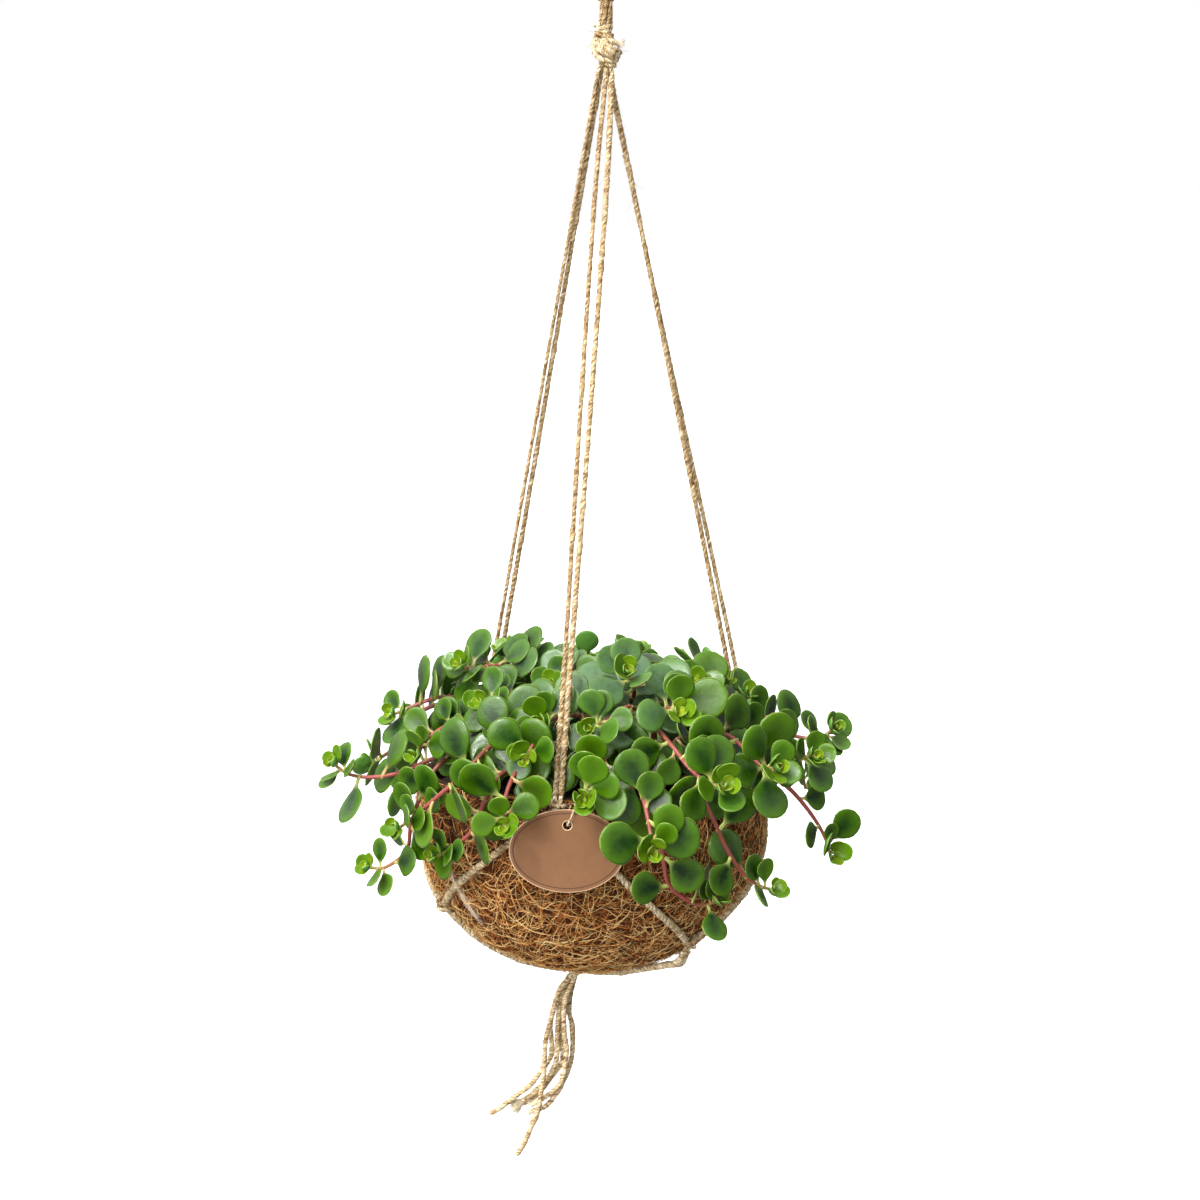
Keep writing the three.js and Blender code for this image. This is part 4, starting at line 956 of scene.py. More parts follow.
def make_loop():
    """Three strands go up, round and down again, and are whipped together above the bundle."""
    rng = seeded(600)
    shape = Shape()
    middle = smooth_path(LOOP_LINE, PLY_STEP)
    _, normal, other = frames(middle)
    turn = math.tau * (run_of(middle)[None] / 90 + np.arange(LOOP_STRANDS)[:, None] / LOOP_STRANDS)
    loop = [(middle + LOOP_REACH * around(turn[k], normal, other), 4 * k) for k in range(LOOP_STRANDS)]
    bundle = [(bundle_line(k), 3 * k) for k in range(len(STRANDS))]
    for line, start in loop + bundle:
        add_twine(shape, line, CORD, rng, start, lay=LOOP_LAY, tone=BUNDLE_TONE)
        add_fuzz(shape, line, CORD, rng, 1.0)
    whipping = wrap_path(*WHIPPING)
    add_twine(shape, whipping, CORD, rng)
    add_fuzz(shape, whipping, CORD, rng)
    show(shape.make("twine_loop", [JUTE]), "jute", "hanging_loop")


make_loop()

# ---- Coir bowl ----

# The mat's tones run darker than the top fibres': partly the coir's own range, partly painted shade down in
# the mat.
FIBRE_LAYERS = {                    # count, lengths, how far they dip and rise, radius and tone
    "coir_mat": (9500, (8, 34), (-1.4, 0.9), (0.14, 0.26), (-0.25, 0.5)),
    "coir_top_fibres": (6000, (8, 40), (-0.3, 2.3), (0.12, 0.24), (0.3, 1.15)),
}
FIBRE_PLACES = 9
FIBRE_ROOM = 3.3                    # how near to a strand's middle the fibres are pressed down
WALL_FACETS = 180
FELT_INSET = 1.4                    # how far the felt lies in from the wall's surface, for the fibres on it
RIM_ROUNDING = 1.2


def wall_profile(inset):
    """Points up the outer wall from the dimple to the rim, kept in by an inset."""
    profile = []
    for radius in np.linspace(0, DIMPLE_RADIUS, 8)[:-1]:
        lift = DIMPLE_DEPTH * (0.5 + 0.5 * math.cos(math.pi * radius / DIMPLE_RADIUS))
        profile.append((radius, max(lift, bowl_height(radius)) + inset))
    for turn in np.linspace(math.asin(DIMPLE_RADIUS / BOWL_RADIUS), math.pi / 2, 40):
        radius = BOWL_RADIUS * math.sin(turn)
        height = bowl_height(radius)
        near = min(radius, BOWL_RADIUS - 0.6)
        rise = bowl_height(near + 0.5) - bowl_height(near - 0.5)
        size = math.hypot(1, rise)
        profile.append((radius - inset * rise / size, height + inset / size))
    for height in np.linspace(BOWL_WIDEST_HEIGHT, BOWL_HEIGHT, 8)[1:]:
        profile.append((bowl_radius(height) - inset, height))
    return np.array(profile)


WALL = wall_profile(0.0)
WALL_RUN = run_of(np.column_stack([WALL, np.zeros(len(WALL))]))
WALL_ALONG = unit(np.gradient(WALL, axis=0))


def on_wall(azimuth, run, stand_off):
    """Places at azimuths (radians) and lengths up the wall, and the directions out of the wall there."""
    radius, height = (np.interp(run, WALL_RUN, WALL[:, k]) for k in (0, 1))
    outward, rise = (np.interp(run, WALL_RUN, WALL_ALONG[:, k]) for k in (0, 1))
    radial = np.stack([np.sin(azimuth), -np.cos(azimuth), np.zeros_like(azimuth)], -1)
    out = unit(radial * rise[..., None] - UP * outward[..., None])
    place = radial * radius[..., None] + UP * (BOWL_BASE_Z + height)[..., None]
    return place + out * np.asarray(stand_off)[..., None], out


def lumps(points, rng, waves=10, longest=40.0, shortest=5.0):
    """Smooth random bumps over space, of about -1 to 1."""
    total = np.zeros(points.shape[:-1])
    for _ in range(waves):
        size = math.exp(rng.uniform(math.log(shortest), math.log(longest)))
        total += np.sin(points @ (unit(rng.normal(size=3)) * math.tau / size) + rng.uniform(0, 6.3))
    return total / math.sqrt(waves * 2)


def make_bowl():
    """The felted wall itself, uneven outside and in, with a rounded rim."""
    rng = seeded(700)
    outer = wall_profile(FELT_INSET)
    rim = [(bowl_radius(BOWL_HEIGHT) - BOWL_WALL / 2 + (BOWL_WALL / 2 - RIM_ROUNDING) * math.cos(t),
            BOWL_HEIGHT - 0.8 + RIM_ROUNDING * math.sin(t)) for t in np.linspace(0.2, math.pi - 0.2, 7)]
    widest, depth = BOWL_RADIUS - BOWL_WALL, BOWL_WIDEST_HEIGHT - BOWL_WALL - DIMPLE_DEPTH * 0.6
    inner = [(bowl_radius(h) - BOWL_WALL, h) for h in (BOWL_HEIGHT - 3, BOWL_HEIGHT - 10)]
    inner += [(widest * math.sin(t), BOWL_WIDEST_HEIGHT - depth * math.cos(t) ** (2 / BOWL_ROUNDNESS))
              for t in np.linspace(math.pi / 2, 0, 14)]
    profile = np.array([*outer, *rim, *inner])
    rows = profile[1:-1]
    ring = np.stack([np.sin(turns(WALL_FACETS)), -np.cos(turns(WALL_FACETS))], -1)
    level = np.broadcast_to(rows[:, None, 1:] + BOWL_BASE_Z, (len(rows), WALL_FACETS, 1))
    points = np.concatenate([rows[:, None, :1] * ring[None], level], axis=-1)
    rough = 0.5 * lumps(points, rng) + 0.45 * lumps(points, rng, 14, 9.0, 3.0)
    points[..., :2] += ring[None] * rough[..., None] * 0.8
    points = points.reshape(-1, 3)
    low, high = len(points), len(points) + 1
    last = low - WALL_FACETS
    ends = [(0, 0, BOWL_BASE_Z + profile[0, 1]), (0, 0, BOWL_BASE_Z + profile[-1, 1])]
    caps = [[low, (i + 1) % WALL_FACETS, i] for i in range(WALL_FACETS)]
    caps += [[high, last + i, last + (i + 1) % WALL_FACETS] for i in range(WALL_FACETS)]
    shape = Shape()
    shape.add(np.vstack([points, ends]), [tube_faces(len(rows), WALL_FACETS)[0], caps])
    show(shape.make("coir_wall", [COIR_FELT]), "coir", "coir_bowl")


make_bowl()


def strand_tree():
    """The strands that lie on the bowl, to keep the coir's fibres out of them.

    The two under the left knot are left out, because there the fibres lie partly over them.
    """
    below = [route for lane, route in routes["under"].items() if lane > 1]
    places = np.concatenate([*routes["net"].values(), *below])
    tree = KDTree(len(places))
    for i, p in enumerate(places):
        tree.insert(p, i)
    tree.balance()
    return tree


def fibre_heading(rng, azimuth, run):
    """The way each fibre sets out in radians: 0 is round the bowl, a quarter turn is up the wall.

    Most run down the wall at its side and round it near the bottom, and many lie across.
    """
    steep = np.clip((run - 55) / 60, 0, 1)
    base = 0.35 + 0.75 * steep + 0.4 * np.sin(2 * azimuth + run / 22) + 0.4 * np.sin(3 * azimuth - run / 31)
    across = rng.choice([0.0, 1.2, -1.0], len(azimuth), p=[0.56, 0.22, 0.22])
    return base + across + rng.normal(0, 0.3, len(azimuth)) + math.pi * rng.integers(0, 2, len(azimuth))


def fibre_paths(rng, count, lengths, lift):
    """Fibres that wander over the wall and weave in and out of it."""
    azimuth = rng.uniform(-math.pi, math.pi, count)
    run = np.interp(rng.random(count), np.cumsum(WALL[:, 0]) / WALL[:, 0].sum(), WALL_RUN)
    angle = fibre_heading(rng, azimuth, run)
    shortest, longest = lengths
    length = shortest + (longest - shortest) * rng.random(count) ** 1.6
    step = length / (FIBRE_PLACES - 1)
    bend = rng.normal(0, 0.028, count)
    sway, phase = rng.normal(0, 0.14, count), rng.uniform(0, 6.3, count)
    dip, waves = rng.uniform(0, 6.3, count), rng.uniform(0.5, 1.4, count)
    low, high = lift
    paths = np.zeros((count, FIBRE_PLACES, 3))
    outs = np.zeros_like(paths)
    for k in range(FIBRE_PLACES):
        share = k / (FIBRE_PLACES - 1)
        weave = 0.5 + 0.5 * np.sin(dip + math.tau * waves * share)
        tuck = math.sin(math.pi * share) ** 0.5
        stand_off = (low + (high - low) * weave) * tuck - 1.2 * (1 - tuck)
        paths[:, k], outs[:, k] = on_wall(azimuth, run, stand_off)
        radius = np.maximum(np.interp(run, WALL_RUN, WALL[:, 0]), 4)
        turned = angle + sway * np.sin(phase + 6.3 * share)
        azimuth = azimuth + np.cos(turned) * step / radius
        run = np.clip(run + np.sin(turned) * step, 1, WALL_RUN[-1] - 0.5)
        angle = angle + bend * step
    return paths, outs


def keep_clear(paths, outs, tree):
    """Presses fibres down to the wall where a strand lies over them."""
    for i, path in enumerate(paths):
        for k, p in enumerate(path):
            _, _, far = tree.find(p)
            if far < FIBRE_ROOM:
                paths[i, k] = p - outs[i, k] * min(2.4, 1.5 * (FIBRE_ROOM - far))


def make_fibres():
    """A mat of coir fibres all over the wall, with lighter ones that lie loosely on top."""
    rng = seeded(800)
    tree = strand_tree()
    for name, (count, lengths, lift, (thin, thick), (dark, light)) in FIBRE_LAYERS.items():
        paths, outs = fibre_paths(rng, count, lengths, lift)
        keep_clear(paths, outs, tree)
        shape = Shape()
        add_hairs(shape, paths, rng.uniform(thin, thick, count), rng.uniform(dark, light, count), outs)
        show(shape.make(name, [COIR_FIBRE]), "coir")


make_fibres()

PALE_STREAK = [(-54.5, 70.5), (-51.5, 55), (-47, 31.5)]      # azimuth and height of its places
PALE_SHARES = [0, 0.42, 1]                                   # and how far down it each lies
PALE_FIBRES = 90


def make_pale_streak():
    """A narrow lock of greyish, shiny fibres that runs down the wall left of the tag."""
    rng = seeded(900)
    count = PALE_FIBRES
    start, length = rng.uniform(0, 0.55, count), rng.uniform(0.25, 0.5, count)
    aside, drift = rng.normal(0, 1.1, count), rng.normal(0, 1.6, count)
    paths, outs = np.zeros((2, count, FIBRE_PLACES, 3))
    azimuths, heights = np.array(PALE_STREAK).T
    for k in range(FIBRE_PLACES):
        share = k / (FIBRE_PLACES - 1)
        down = start + length * share
        run = np.interp(np.interp(down, PALE_SHARES, heights), WALL[:, 1], WALL_RUN)
        wide = np.degrees((aside + drift * share) / np.interp(run, WALL_RUN, WALL[:, 0]))
        turn = np.radians(np.interp(down, PALE_SHARES, azimuths) + wide)
        stand_off = -0.4 + 1.9 * math.sin(math.pi * share) * np.ones(count)
        paths[:, k], outs[:, k] = on_wall(turn, run, stand_off)
    shape = Shape()
    add_hairs(shape, paths, rng.uniform(0.14, 0.24, count), rng.uniform(0.5, 1, count), outs)
    show(shape.make("pale_fibres", [PALE_FIBRE]), "coir")


make_pale_streak()

# ---- Soil ----


SOIL_RINGS, SOIL_FACETS = 34, 120
CRUMBS = 700
CRUMB_REACH = 93


def make_soil():
    """Loose soil with crumbs of many sizes, level with the inside of the rim."""
    rng = seeded(1000)
    shape = Shape()
    radii = np.linspace(1, BOWL_RADIUS - BOWL_WALL - 2.0, SOIL_RINGS)
    turn = turns(SOIL_FACETS)
    flat = radii[:, None, None] * np.stack([np.cos(turn), np.sin(turn)], -1)[None]
    z = np.array([soil_top(r) for r in radii])[:, None] * np.ones(SOIL_FACETS)
    points = np.concatenate([flat, z[..., None]], -1)
    points[..., 2] += 1.1 * lumps(points, rng, 12, 16, 4) - 0.6
    points[-1, :, 2] -= 6
    points = np.vstack([points.reshape(-1, 3), [(0, 0, soil_top(0))]])
    cap = [[len(points) - 1, (i + 1) % SOIL_FACETS, i] for i in range(SOIL_FACETS)]
    shape.add(points, [tube_faces(SOIL_RINGS, SOIL_FACETS)[0], cap])
    crumb = bmesh.new()
    bmesh.ops.create_icosphere(crumb, subdivisions=1, radius=1)
    ball = np.array([v.co for v in crumb.verts])
    sides = [[v.index for v in f.verts] for f in crumb.faces]
    crumb.free()
    for _ in range(CRUMBS):
        reach, turn = CRUMB_REACH * math.sqrt(rng.random()), rng.uniform(0, math.tau)
        size = 0.7 + 2.2 * rng.random() ** 3
        place = np.array([reach * math.cos(turn), reach * math.sin(turn), soil_top(reach) + 0.3 * size])
        bumps = 1 + 0.25 * rng.normal(size=(len(ball), 1))
        shape.add(place + ball * bumps * size * (1, 1, 0.8), [sides])
    show(shape.make("soil_crumbs", [SOIL]), "soil", "soil")


make_soil()

# ---- Tag ----

TAG_TURN = np.array(Matrix.Rotation(math.radians(90 - TAG_LEAN), 3, "X"))
TAG_BOW = 1.2                       # how far the tag's two ends bend back


def on_tag(points):
    """Places given across, up and out from the tag's back, in the row frame."""
    return np.asarray(points, float) @ TAG_TURN.T + np.array(TAG_PLACE, float)


def make_tag():
    """An oval card with a punched hole, a little bowed, with softened edges."""
    bm = bmesh.new()
    outline = []
    ovals = [(112, TAG_WIDTH / 2, TAG_HEIGHT / 2, 0), (36, TAG_HOLE / 2, TAG_HOLE / 2, TAG_HOLE_UP)]
    for count, wide, high, up in ovals:
        ring = [bm.verts.new((wide * math.cos(turn), up + high * math.sin(turn), TAG_THICKNESS))
                for turn in turns(count)]
        outline += [bm.edges.new((ring[i], ring[(i + 1) % count])) for i in range(count)]
    bmesh.ops.triangle_fill(bm, edges=outline, use_beauty=True)
    bmesh.ops.subdivide_edges(bm, edges=[e for e in bm.edges if not e.is_boundary], cuts=2)
    bmesh.ops.triangulate(bm, faces=bm.faces[:])
    for face in bm.faces:
        if face.normal.z < 0:
            face.normal_flip()
    bmesh.ops.solidify(bm, geom=bm.faces[:], thickness=TAG_THICKNESS)
    bmesh.ops.recalc_face_normals(bm, faces=bm.faces[:])
    sharp = [e for e in bm.edges if len(e.link_faces) == 2 and e.calc_face_angle(0) > 1]
    bmesh.ops.bevel(bm, geom=sharp, offset=0.22, segments=2, affect="EDGES", profile=0.5)
    bm.verts.ensure_lookup_table()
    local = np.array([v.co for v in bm.verts])
    faces = [[v.index for v in f.verts] for f in bm.faces]
    bm.free()
    blocks = [[face for face in faces if len(face) == corners] for corners in range(3, 9)]
    card = local * (1, 1, 0)
    local[:, 2] -= TAG_BOW * (local[:, 0] / (TAG_WIDTH / 2)) ** 2
    shape = Shape()
    shape.add(on_tag(local), [block for block in blocks if block], card=card)
    show(shape.make("card_tag", [TAG_CARD], smooth=False), "tag", "tag")


make_tag()

TIE_ROUTE = [(1.5, 26, -4.4), (0.6, 22, -3.6), (0, 18, -2.4), (0, TAG_HOLE_UP, 0.6), (0.8, 17, 2.6),
             (2.6, 21, 2.6), (4, 24.6, 2.2), (4.4, 26.4, 0), (4, 27, -3)]


def make_tie():
    rng = seeded(1100)
    shape = Shape()
    path = smooth_path(on_tag(TIE_ROUTE), 0.6)
    add_twine(shape, path, TIE, rng, plies=2, lay=4.5, sides=6)
    add_fuzz(shape, path, TIE, rng, 1.0, 3.0)
    show(shape.make("twine_tie", [JUTE]), "jute", "tag_tie")


make_tie()

# ---- Leafy stems: routes, as in the CAD source ----

SHOOTS = [
    ("far_left", (-48, -14), {"tip": 0.76}, [
        [(-58, -20, -476), (-83, -38, -489), (-95, -40, -492), (-111, -36, -500), (-128, -30, -505),
         (-144, -24, -505), (-155, -20, -499)],
        [(-58, -8, -474), (-76, 0, -463), (-92, 2, -461), (-109, 2, -467), (-121, -2, -472)]]),
    ("low_left", (-56, -32), {"tip": 0.78, "size": 0.85}, [
        [(-64, -40, -484), (-80, -54, -484), (-96, -66, -500), (-105, -69, -525), (-108, -63, -543),
         (-121, -54, -555), (-131, -50, -556)],
        [(-64, -34, -478), (-82, -46, -470), (-97, -52, -478), (-104, -52, -490)]]),
    ("long_left", (-30, -52), {"tip": 0.78}, [
        [(-36, -62, -484), (-55, -84, -474), (-75, -98, -492), (-87, -96, -503), (-102, -84, -518),
         (-113, -76, -528)],
        [(-38, -72, -496), (-52, -100, -490), (-61, -108, -504), (-67, -103, -521), (-78, -93, -534),
         (-91, -84, -543)]]),
    ("front_left", (-26, -72), {"tip": 0.82}, [
        [(-32, -84, -488), (-42, -100, -487), (-48, -113, -497), (-50, -122, -508), (-49, -129, -517)],
        [(-26, -78, -478), (-30, -90, -470), (-35, -102, -474), (-38, -110, -481)]]),
    ("top_left", (-12, 2), {"tip": 0.82, "lift": (1, 0.8)}, [
        [(-14, 4, -468), (-26, 2, -449), (-40, -4, -443), (-54, -10, -439), (-69, -17, -440),
         (-80, -24, -439)],
        [(-16, -8, -474), (-32, -26, -459), (-50, -42, -454), (-66, -52, -457)]]),
    ("crest_left", (-16, 28), {"tip": 0.85, "size": 0.85, "lift": (2.4, 2.4)}, [
        [(-20, 32, -472), (-36, 40, -454), (-47, 44, -445), (-58, 48, -440)]]),
    ("front_mid", (32, -42), {}, [
        [(32, -52, -468), (22, -76, -453), (8, -88, -459), (-2, -97, -464)],
        [(22, -50, -472), (0, -62, -462), (-18, -74, -460), (-32, -88, -464)]]),
    ("crest_mid", (6, 14), {"tip": 0.82, "size": 0.9, "lift": (2.6, 1)}, [
        [(8, 17, -465), (14, 24, -446), (21, 26, -439), (26, 27, -434)],
        [(2, 6, -468), (-6, -12, -453), (-16, -30, -448), (-26, -44, -448)]]),
    ("top_right", (50, -8), {"lift": (0.8, 1.2)}, [
        [(56, -14, -476), (62, -25, -460), (60, -32, -451), (57, -39, -443)],
        [(56, 0, -476), (70, 8, -463), (82, 8, -458), (93, 4, -458)]]),
    ("front_right", (36, -60), {"tip": 1.05}, [
        [(36, -74, -468), (46, -98, -472), (57, -108, -484), (68, -114, -491), (77, -121, -492)],
        [(50, -62, -474), (76, -62, -470), (90, -72, -478), (99, -80, -486), (107, -87, -486)]]),
    ("low_front", (12, -78), {"tip": 1.05}, [
        [(16, -90, -486), (24, -108, -488), (30, -120, -500), (34, -128, -516), (36, -134, -529)],
        [(8, -90, -484), (2, -106, -484), (-2, -118, -491), (-5, -126, -500)]]),
    ("bottom_right", (28, -80), {"tip": 0.76, "size": 0.85, "spacing": 19}, [
        [(32, -94, -494), (38, -111, -506), (41, -113, -524), (43, -111, -540), (46, -108, -552),
         (57, -102, -562), (67, -96, -566), (77, -93, -561)]]),
    ("low_right", (50, -68), {"tip": 0.78, "size": 0.95, "spacing": 18}, [
        [(54, -78, -494), (64, -92, -502), (72, -97, -517), (79, -95, -532), (89, -87, -548),
         (100, -81, -557), (108, -79, -559)]]),
    ("far_low_right", (70, -34), {"tip": 0.82, "size": 0.74, "spacing": 21}, [
        [(80, -40, -492), (93, -46, -491), (107, -50, -497), (119, -49, -506), (132, -45, -522),
         (140, -43, -536), (143, -45, -547)]]),
    ("far_right", (70, -8), {"tip": 0.76, "size": 0.88}, [
        [(78, -4, -478), (92, -2, -471), (110, -5, -476), (126, -8, -480), (137, -11, -479),
         (145, -13, -473)],
        [(82, -16, -484), (101, -27, -480), (115, -34, -485), (125, -41, -487), (132, -48, -485)]]),
    ("top_front", (10, -22), {"tip": 1, "size": 1.1, "lift": (0.9, 0.6)}, [
        [(18, -28, -466), (24, -44, -451), (23, -58, -442), (20, -71, -434)],
        [(18, -32, -472), (34, -52, -460), (44, -72, -454), (50, -88, -454)]]),
]
BACK_AZIMUTHS = [99, 126, 149, 172, 196, 238, 264]
BACK_ARCH = [(70, -478), (88, -466), (108, -474), (121, -494)]
BACK_TIPS = [(132, -516), (134, -534), (128, -512), (133, -548), (131, -526), (136, -538), (134, -508)]
BACK_CROWN = [(58, -474), (66, -459), (76, -451), (90, -449)]
BACK_CROWN_TURN = 12


def back_shoot(azimuth, i):
    """A shoot at the back, by rule: one branch arches over the rim and one stays in the crown."""
    tip = BACK_TIPS[i]
    last_radius, last_z = BACK_ARCH[-1]
    below = ((last_radius + tip[0]) / 2 + 2, (last_z + tip[1]) / 2)
    arch = [polar(azimuth, radius, z) for radius, z in [*BACK_ARCH, below, tip]]
    lift = 6 * math.sin(2.2 * i)
    crown = []
    for k, (radius, z) in enumerate(BACK_CROWN):
        inward = radius * (1 if k < 1 else 0.88)
        crown.append(polar(azimuth - (BACK_CROWN_TURN * k) / 3, inward, z + (lift * k) / 3))
    base = polar(azimuth, 52, 0)
    return (f"back_{i + 1}", (base[0], base[1]), {"lift": (0.6, 2.4), "tip": 0.8}, [arch, crown])


def random_source(seed):
    """The same small repeatable random source as the CAD source has."""
    state = seed & 0xFFFFFFFF

    def draw():
        nonlocal state
        state = (state + 0x6D2B79F5) & 0xFFFFFFFF
        mixed = state
        mixed = ((mixed ^ (mixed >> 15)) * (mixed | 1)) & 0xFFFFFFFF
        mixed ^= (mixed + (((mixed ^ (mixed >> 7)) * (mixed | 61)) & 0xFFFFFFFF)) & 0xFFFFFFFF
        return (mixed ^ (mixed >> 14)) / 4294967296

    return draw


class Stem:
    """One branch of a shoot, with its route and the leaves that have found a place on it."""

    def __init__(self, shoot, route, branch, index):
        name, (x, y), habit, _ = shoot
        self.owner = name
        self.lift = habit["lift"][branch] if "lift" in habit else LIGHT_LIFT
        self.tip = habit.get("tip", TIP_SIZE)
        self.size = habit.get("size", 1)
        self.spacing = habit.get("spacing", LEAF_SPACING)
        self.facing = np.array([0, -1.0, 0]) if index < len(SHOOTS) else unit((x, y, 0))
        foot = soil_top(math.hypot(x, y)) - HOLE_DEPTH + GAP + 0.1
        self.points = np.array([(x, y, foot), (x, y, foot + 12), *route], float)
        self.twist = 77 * index + 140 * branch
        self.key = 2 * index + branch
        self.places = curve_at(self.points, np.linspace(0, 1, 81))
        self.lengths = run_of(self.places)
        self.length = self.lengths[-1]
        self.leaves = []

    def at(self, distance):
        i = 1
        while i < len(self.lengths) - 1 and self.lengths[i] < distance:
            i += 1
        share = (distance - self.lengths[i - 1]) / (self.lengths[i] - self.lengths[i - 1])
        place = self.places[i - 1] + (self.places[i] - self.places[i - 1]) * share
        return place, unit(self.places[i] - self.places[i - 1])


def light_from(place, stem):
    """The way that a leaf at this place turns to: outwards, to the side that its stem faces, and up."""
    outward = unit((place[0], place[1], 0))
    return unit(outward * 0.5 + stem.facing * 0.6 + UP * stem.lift)


def leaf_habit(stem, k):
    """Length, opening in degrees and distance from the tip of leaf k, counted from the tip."""
    tip = min(k, TIP_LEAVES)
    length = (stem.tip if k < TIP_LEAVES else stem.size) * min(LEAF_LENGTH, 9 + 4.2 * tip)
    back = 1.9 * k if k < TIP_LEAVES else 1.9 * TIP_LEAVES + stem.spacing * (k - TIP_LEAVES + 0.5)
    return length, min(84, 18 + 12 * tip), back


def leaf_pose(stem, k, draws, attempt):
    """Where a leaf starts, its three directions (along, out of its face and across) and its length."""
    size, opening, back = leaf_habit(stem, k)
    place, heading = stem.at(stem.length - back)
    turned = TIP_PULL if k < TIP_LEAVES else LIGHT_PULL * (0.6 + 0.8 * draws[2])
    axis = unit(heading * (1 - turned) + light_from(place, stem) * turned)
    side = unit(np.cross(axis, (0, 0, 1)))
    other = np.cross(axis, side)
    swing = attempt + 1 if attempt % 2 else -attempt
    turn = math.radians(GOLDEN_ANGLE * k + stem.twist + 30 * (draws[0] - 0.5) + 19 * swing)
    opened = math.radians(opening + 26 * (draws[1] - 0.5))
    out = side * math.cos(turn) + other * math.sin(turn)
    along = axis * math.cos(opened) + out * math.sin(opened)
    face = axis * math.sin(opened) - out * math.cos(opened)
    length = size * (LEAF_LEAST + LEAF_RANGE * draws[3]) * (1 - 0.035 * attempt)
    return place, along, face, np.cross(face, along), length


LEAF_LEAST, LEAF_RANGE = 0.86, 0.28  # the least share of its full length, and what a draw adds to it
LEAF_ROOT = -1.2
LEAF_EDGE = [(0.26, 0.07), (0.44, 0.32), (0.79, 0.37)]
LEAF_TIP = 1.01
LEAF_MIDDLE = 0.64


def leaf_corners(pose):
    """The same coarse outline as in the CAD source, for keeping leaves apart."""
    place, along, face, across, length = pose
    rim = [(LEAF_ROOT, 0, 0)]
    rim += [(u * length, v * length, 0) for u, v in LEAF_EDGE]
    rim += [(LEAF_TIP * length, 0, 0)]
    rim += [(u * length, -v * length, 0) for u, v in LEAF_EDGE[::-1]]
    middle = -LEAF_CUP * length
    rim += [(LEAF_MIDDLE * length, 0, middle + half) for half in (LEAF_THICKNESS / 2, -LEAF_THICKNESS / 2)]
    return place + np.array(rim) @ np.array([along, across, face])


# ---- Keeping leaves clear of everything else ----

COMMON_AXES = np.array([
    (1, 0, 0), (0, 1, 0), (0, 0, 1), (1, 1, 0), (1, -1, 0), (1, 0, 1), (1, 0, -1), (0, 1, 1), (0, 1, -1),
    (1, 1, 1), (1, 1, -1), (1, -1, 1), (-1, 1, 1)], float)


class Form:
    """The hull of some points, grown by a radius, with the directions that tell it from others."""

    def __init__(self, owner, points, radius, axes):
        self.owner, self.radius = owner, radius
        self.points = np.array(points, float)
        self.axes = np.array(axes, float).reshape(-1, 3)
        self.centre = self.points.mean(axis=0)
        self.reach = np.linalg.norm(self.points - self.centre, axis=1).max() + radius


class Crowd:
    """All forms that are in place so far, with their centres at hand for a quick first test."""

    def __init__(self, forms):
        self.forms = list(forms)
        self.centres = np.array([f.centre for f in forms])
        self.reaches = np.array([f.reach for f in forms])

    def add(self, form):
        self.forms.append(form)
        self.centres = np.vstack([self.centres, form.centre])
        self.reaches = np.append(self.reaches, form.reach)

    def near(self, form, clearance, own_clearance=0.0):
        apart = np.linalg.norm(self.centres - form.centre, axis=1)
        close = np.nonzero(apart <= self.reaches + form.reach + clearance)[0]
        found = [self.forms[i] for i in close]
        return [o for o in found
                if not clear_of(form, o, own_clearance if o.owner == form.owner else clearance)]


def crossed(a, b):
    return np.cross(a[:, None], b[None]).reshape(-1, 3)


def clear_of(a, b, clearance):
    """Whether some direction tells two forms apart by more than the clearance."""
    line = b.centre - a.centre
    if np.linalg.norm(line) > a.reach + b.reach + clearance:
        return True
    run = b.points[-1] - b.points[0]
    axes = [line[None], a.axes, b.axes, COMMON_AXES, crossed(a.axes, line[None]), crossed(a.axes, b.axes),
            crossed(b.axes, line[None]), crossed(a.axes, run[None])]
    axes = np.concatenate([x for x in axes if len(x)])
    size = np.linalg.norm(axes, axis=1)
    axes, size = axes[size >= 1e-6], size[size >= 1e-6]
    on_a, on_b = axes @ a.points.T, axes @ b.points.T
    space = np.maximum(on_b.min(1) - on_a.max(1), on_a.min(1) - on_b.max(1))
    return bool((space / size - a.radius - b.radius > clearance).any())


def clear_of_bowl(points):
    checks = np.concatenate([points, (points + np.roll(points, -1, axis=0)) / 2])
    for x, y, z in checks:
        height = z - BOWL_BASE_Z
        if height <= BOWL_HEIGHT + 1 and math.hypot(x, y) <= bowl_radius(height) + 1:
            return False
    return True


def rods(owner, places, radius):
    """The forms of a line with a thickness, one for each stretch of it."""
    return [Form(owner, [a, b], radius, []) for a, b in zip(places, places[1:])]


def front_clearing():
    """The taut front strands lean on the foliage from outside, so no leaf hangs over them."""
    forms = []
    ahead = np.array([0, CLEARING_DEPTH, 0])
    for side in (-1, 1):
        low = [p for p in hanger_route("front", side) if p[2] < CLEARING_TOP_Z]
        for a, b in zip(low, low[1:]):
            axes = [unit(np.cross(b - a, (0, 1, 0))), (0, 1, 0)]
            forms.append(Form("cord", [a, a - ahead, b, b - ahead], 0.5, axes))
    return forms


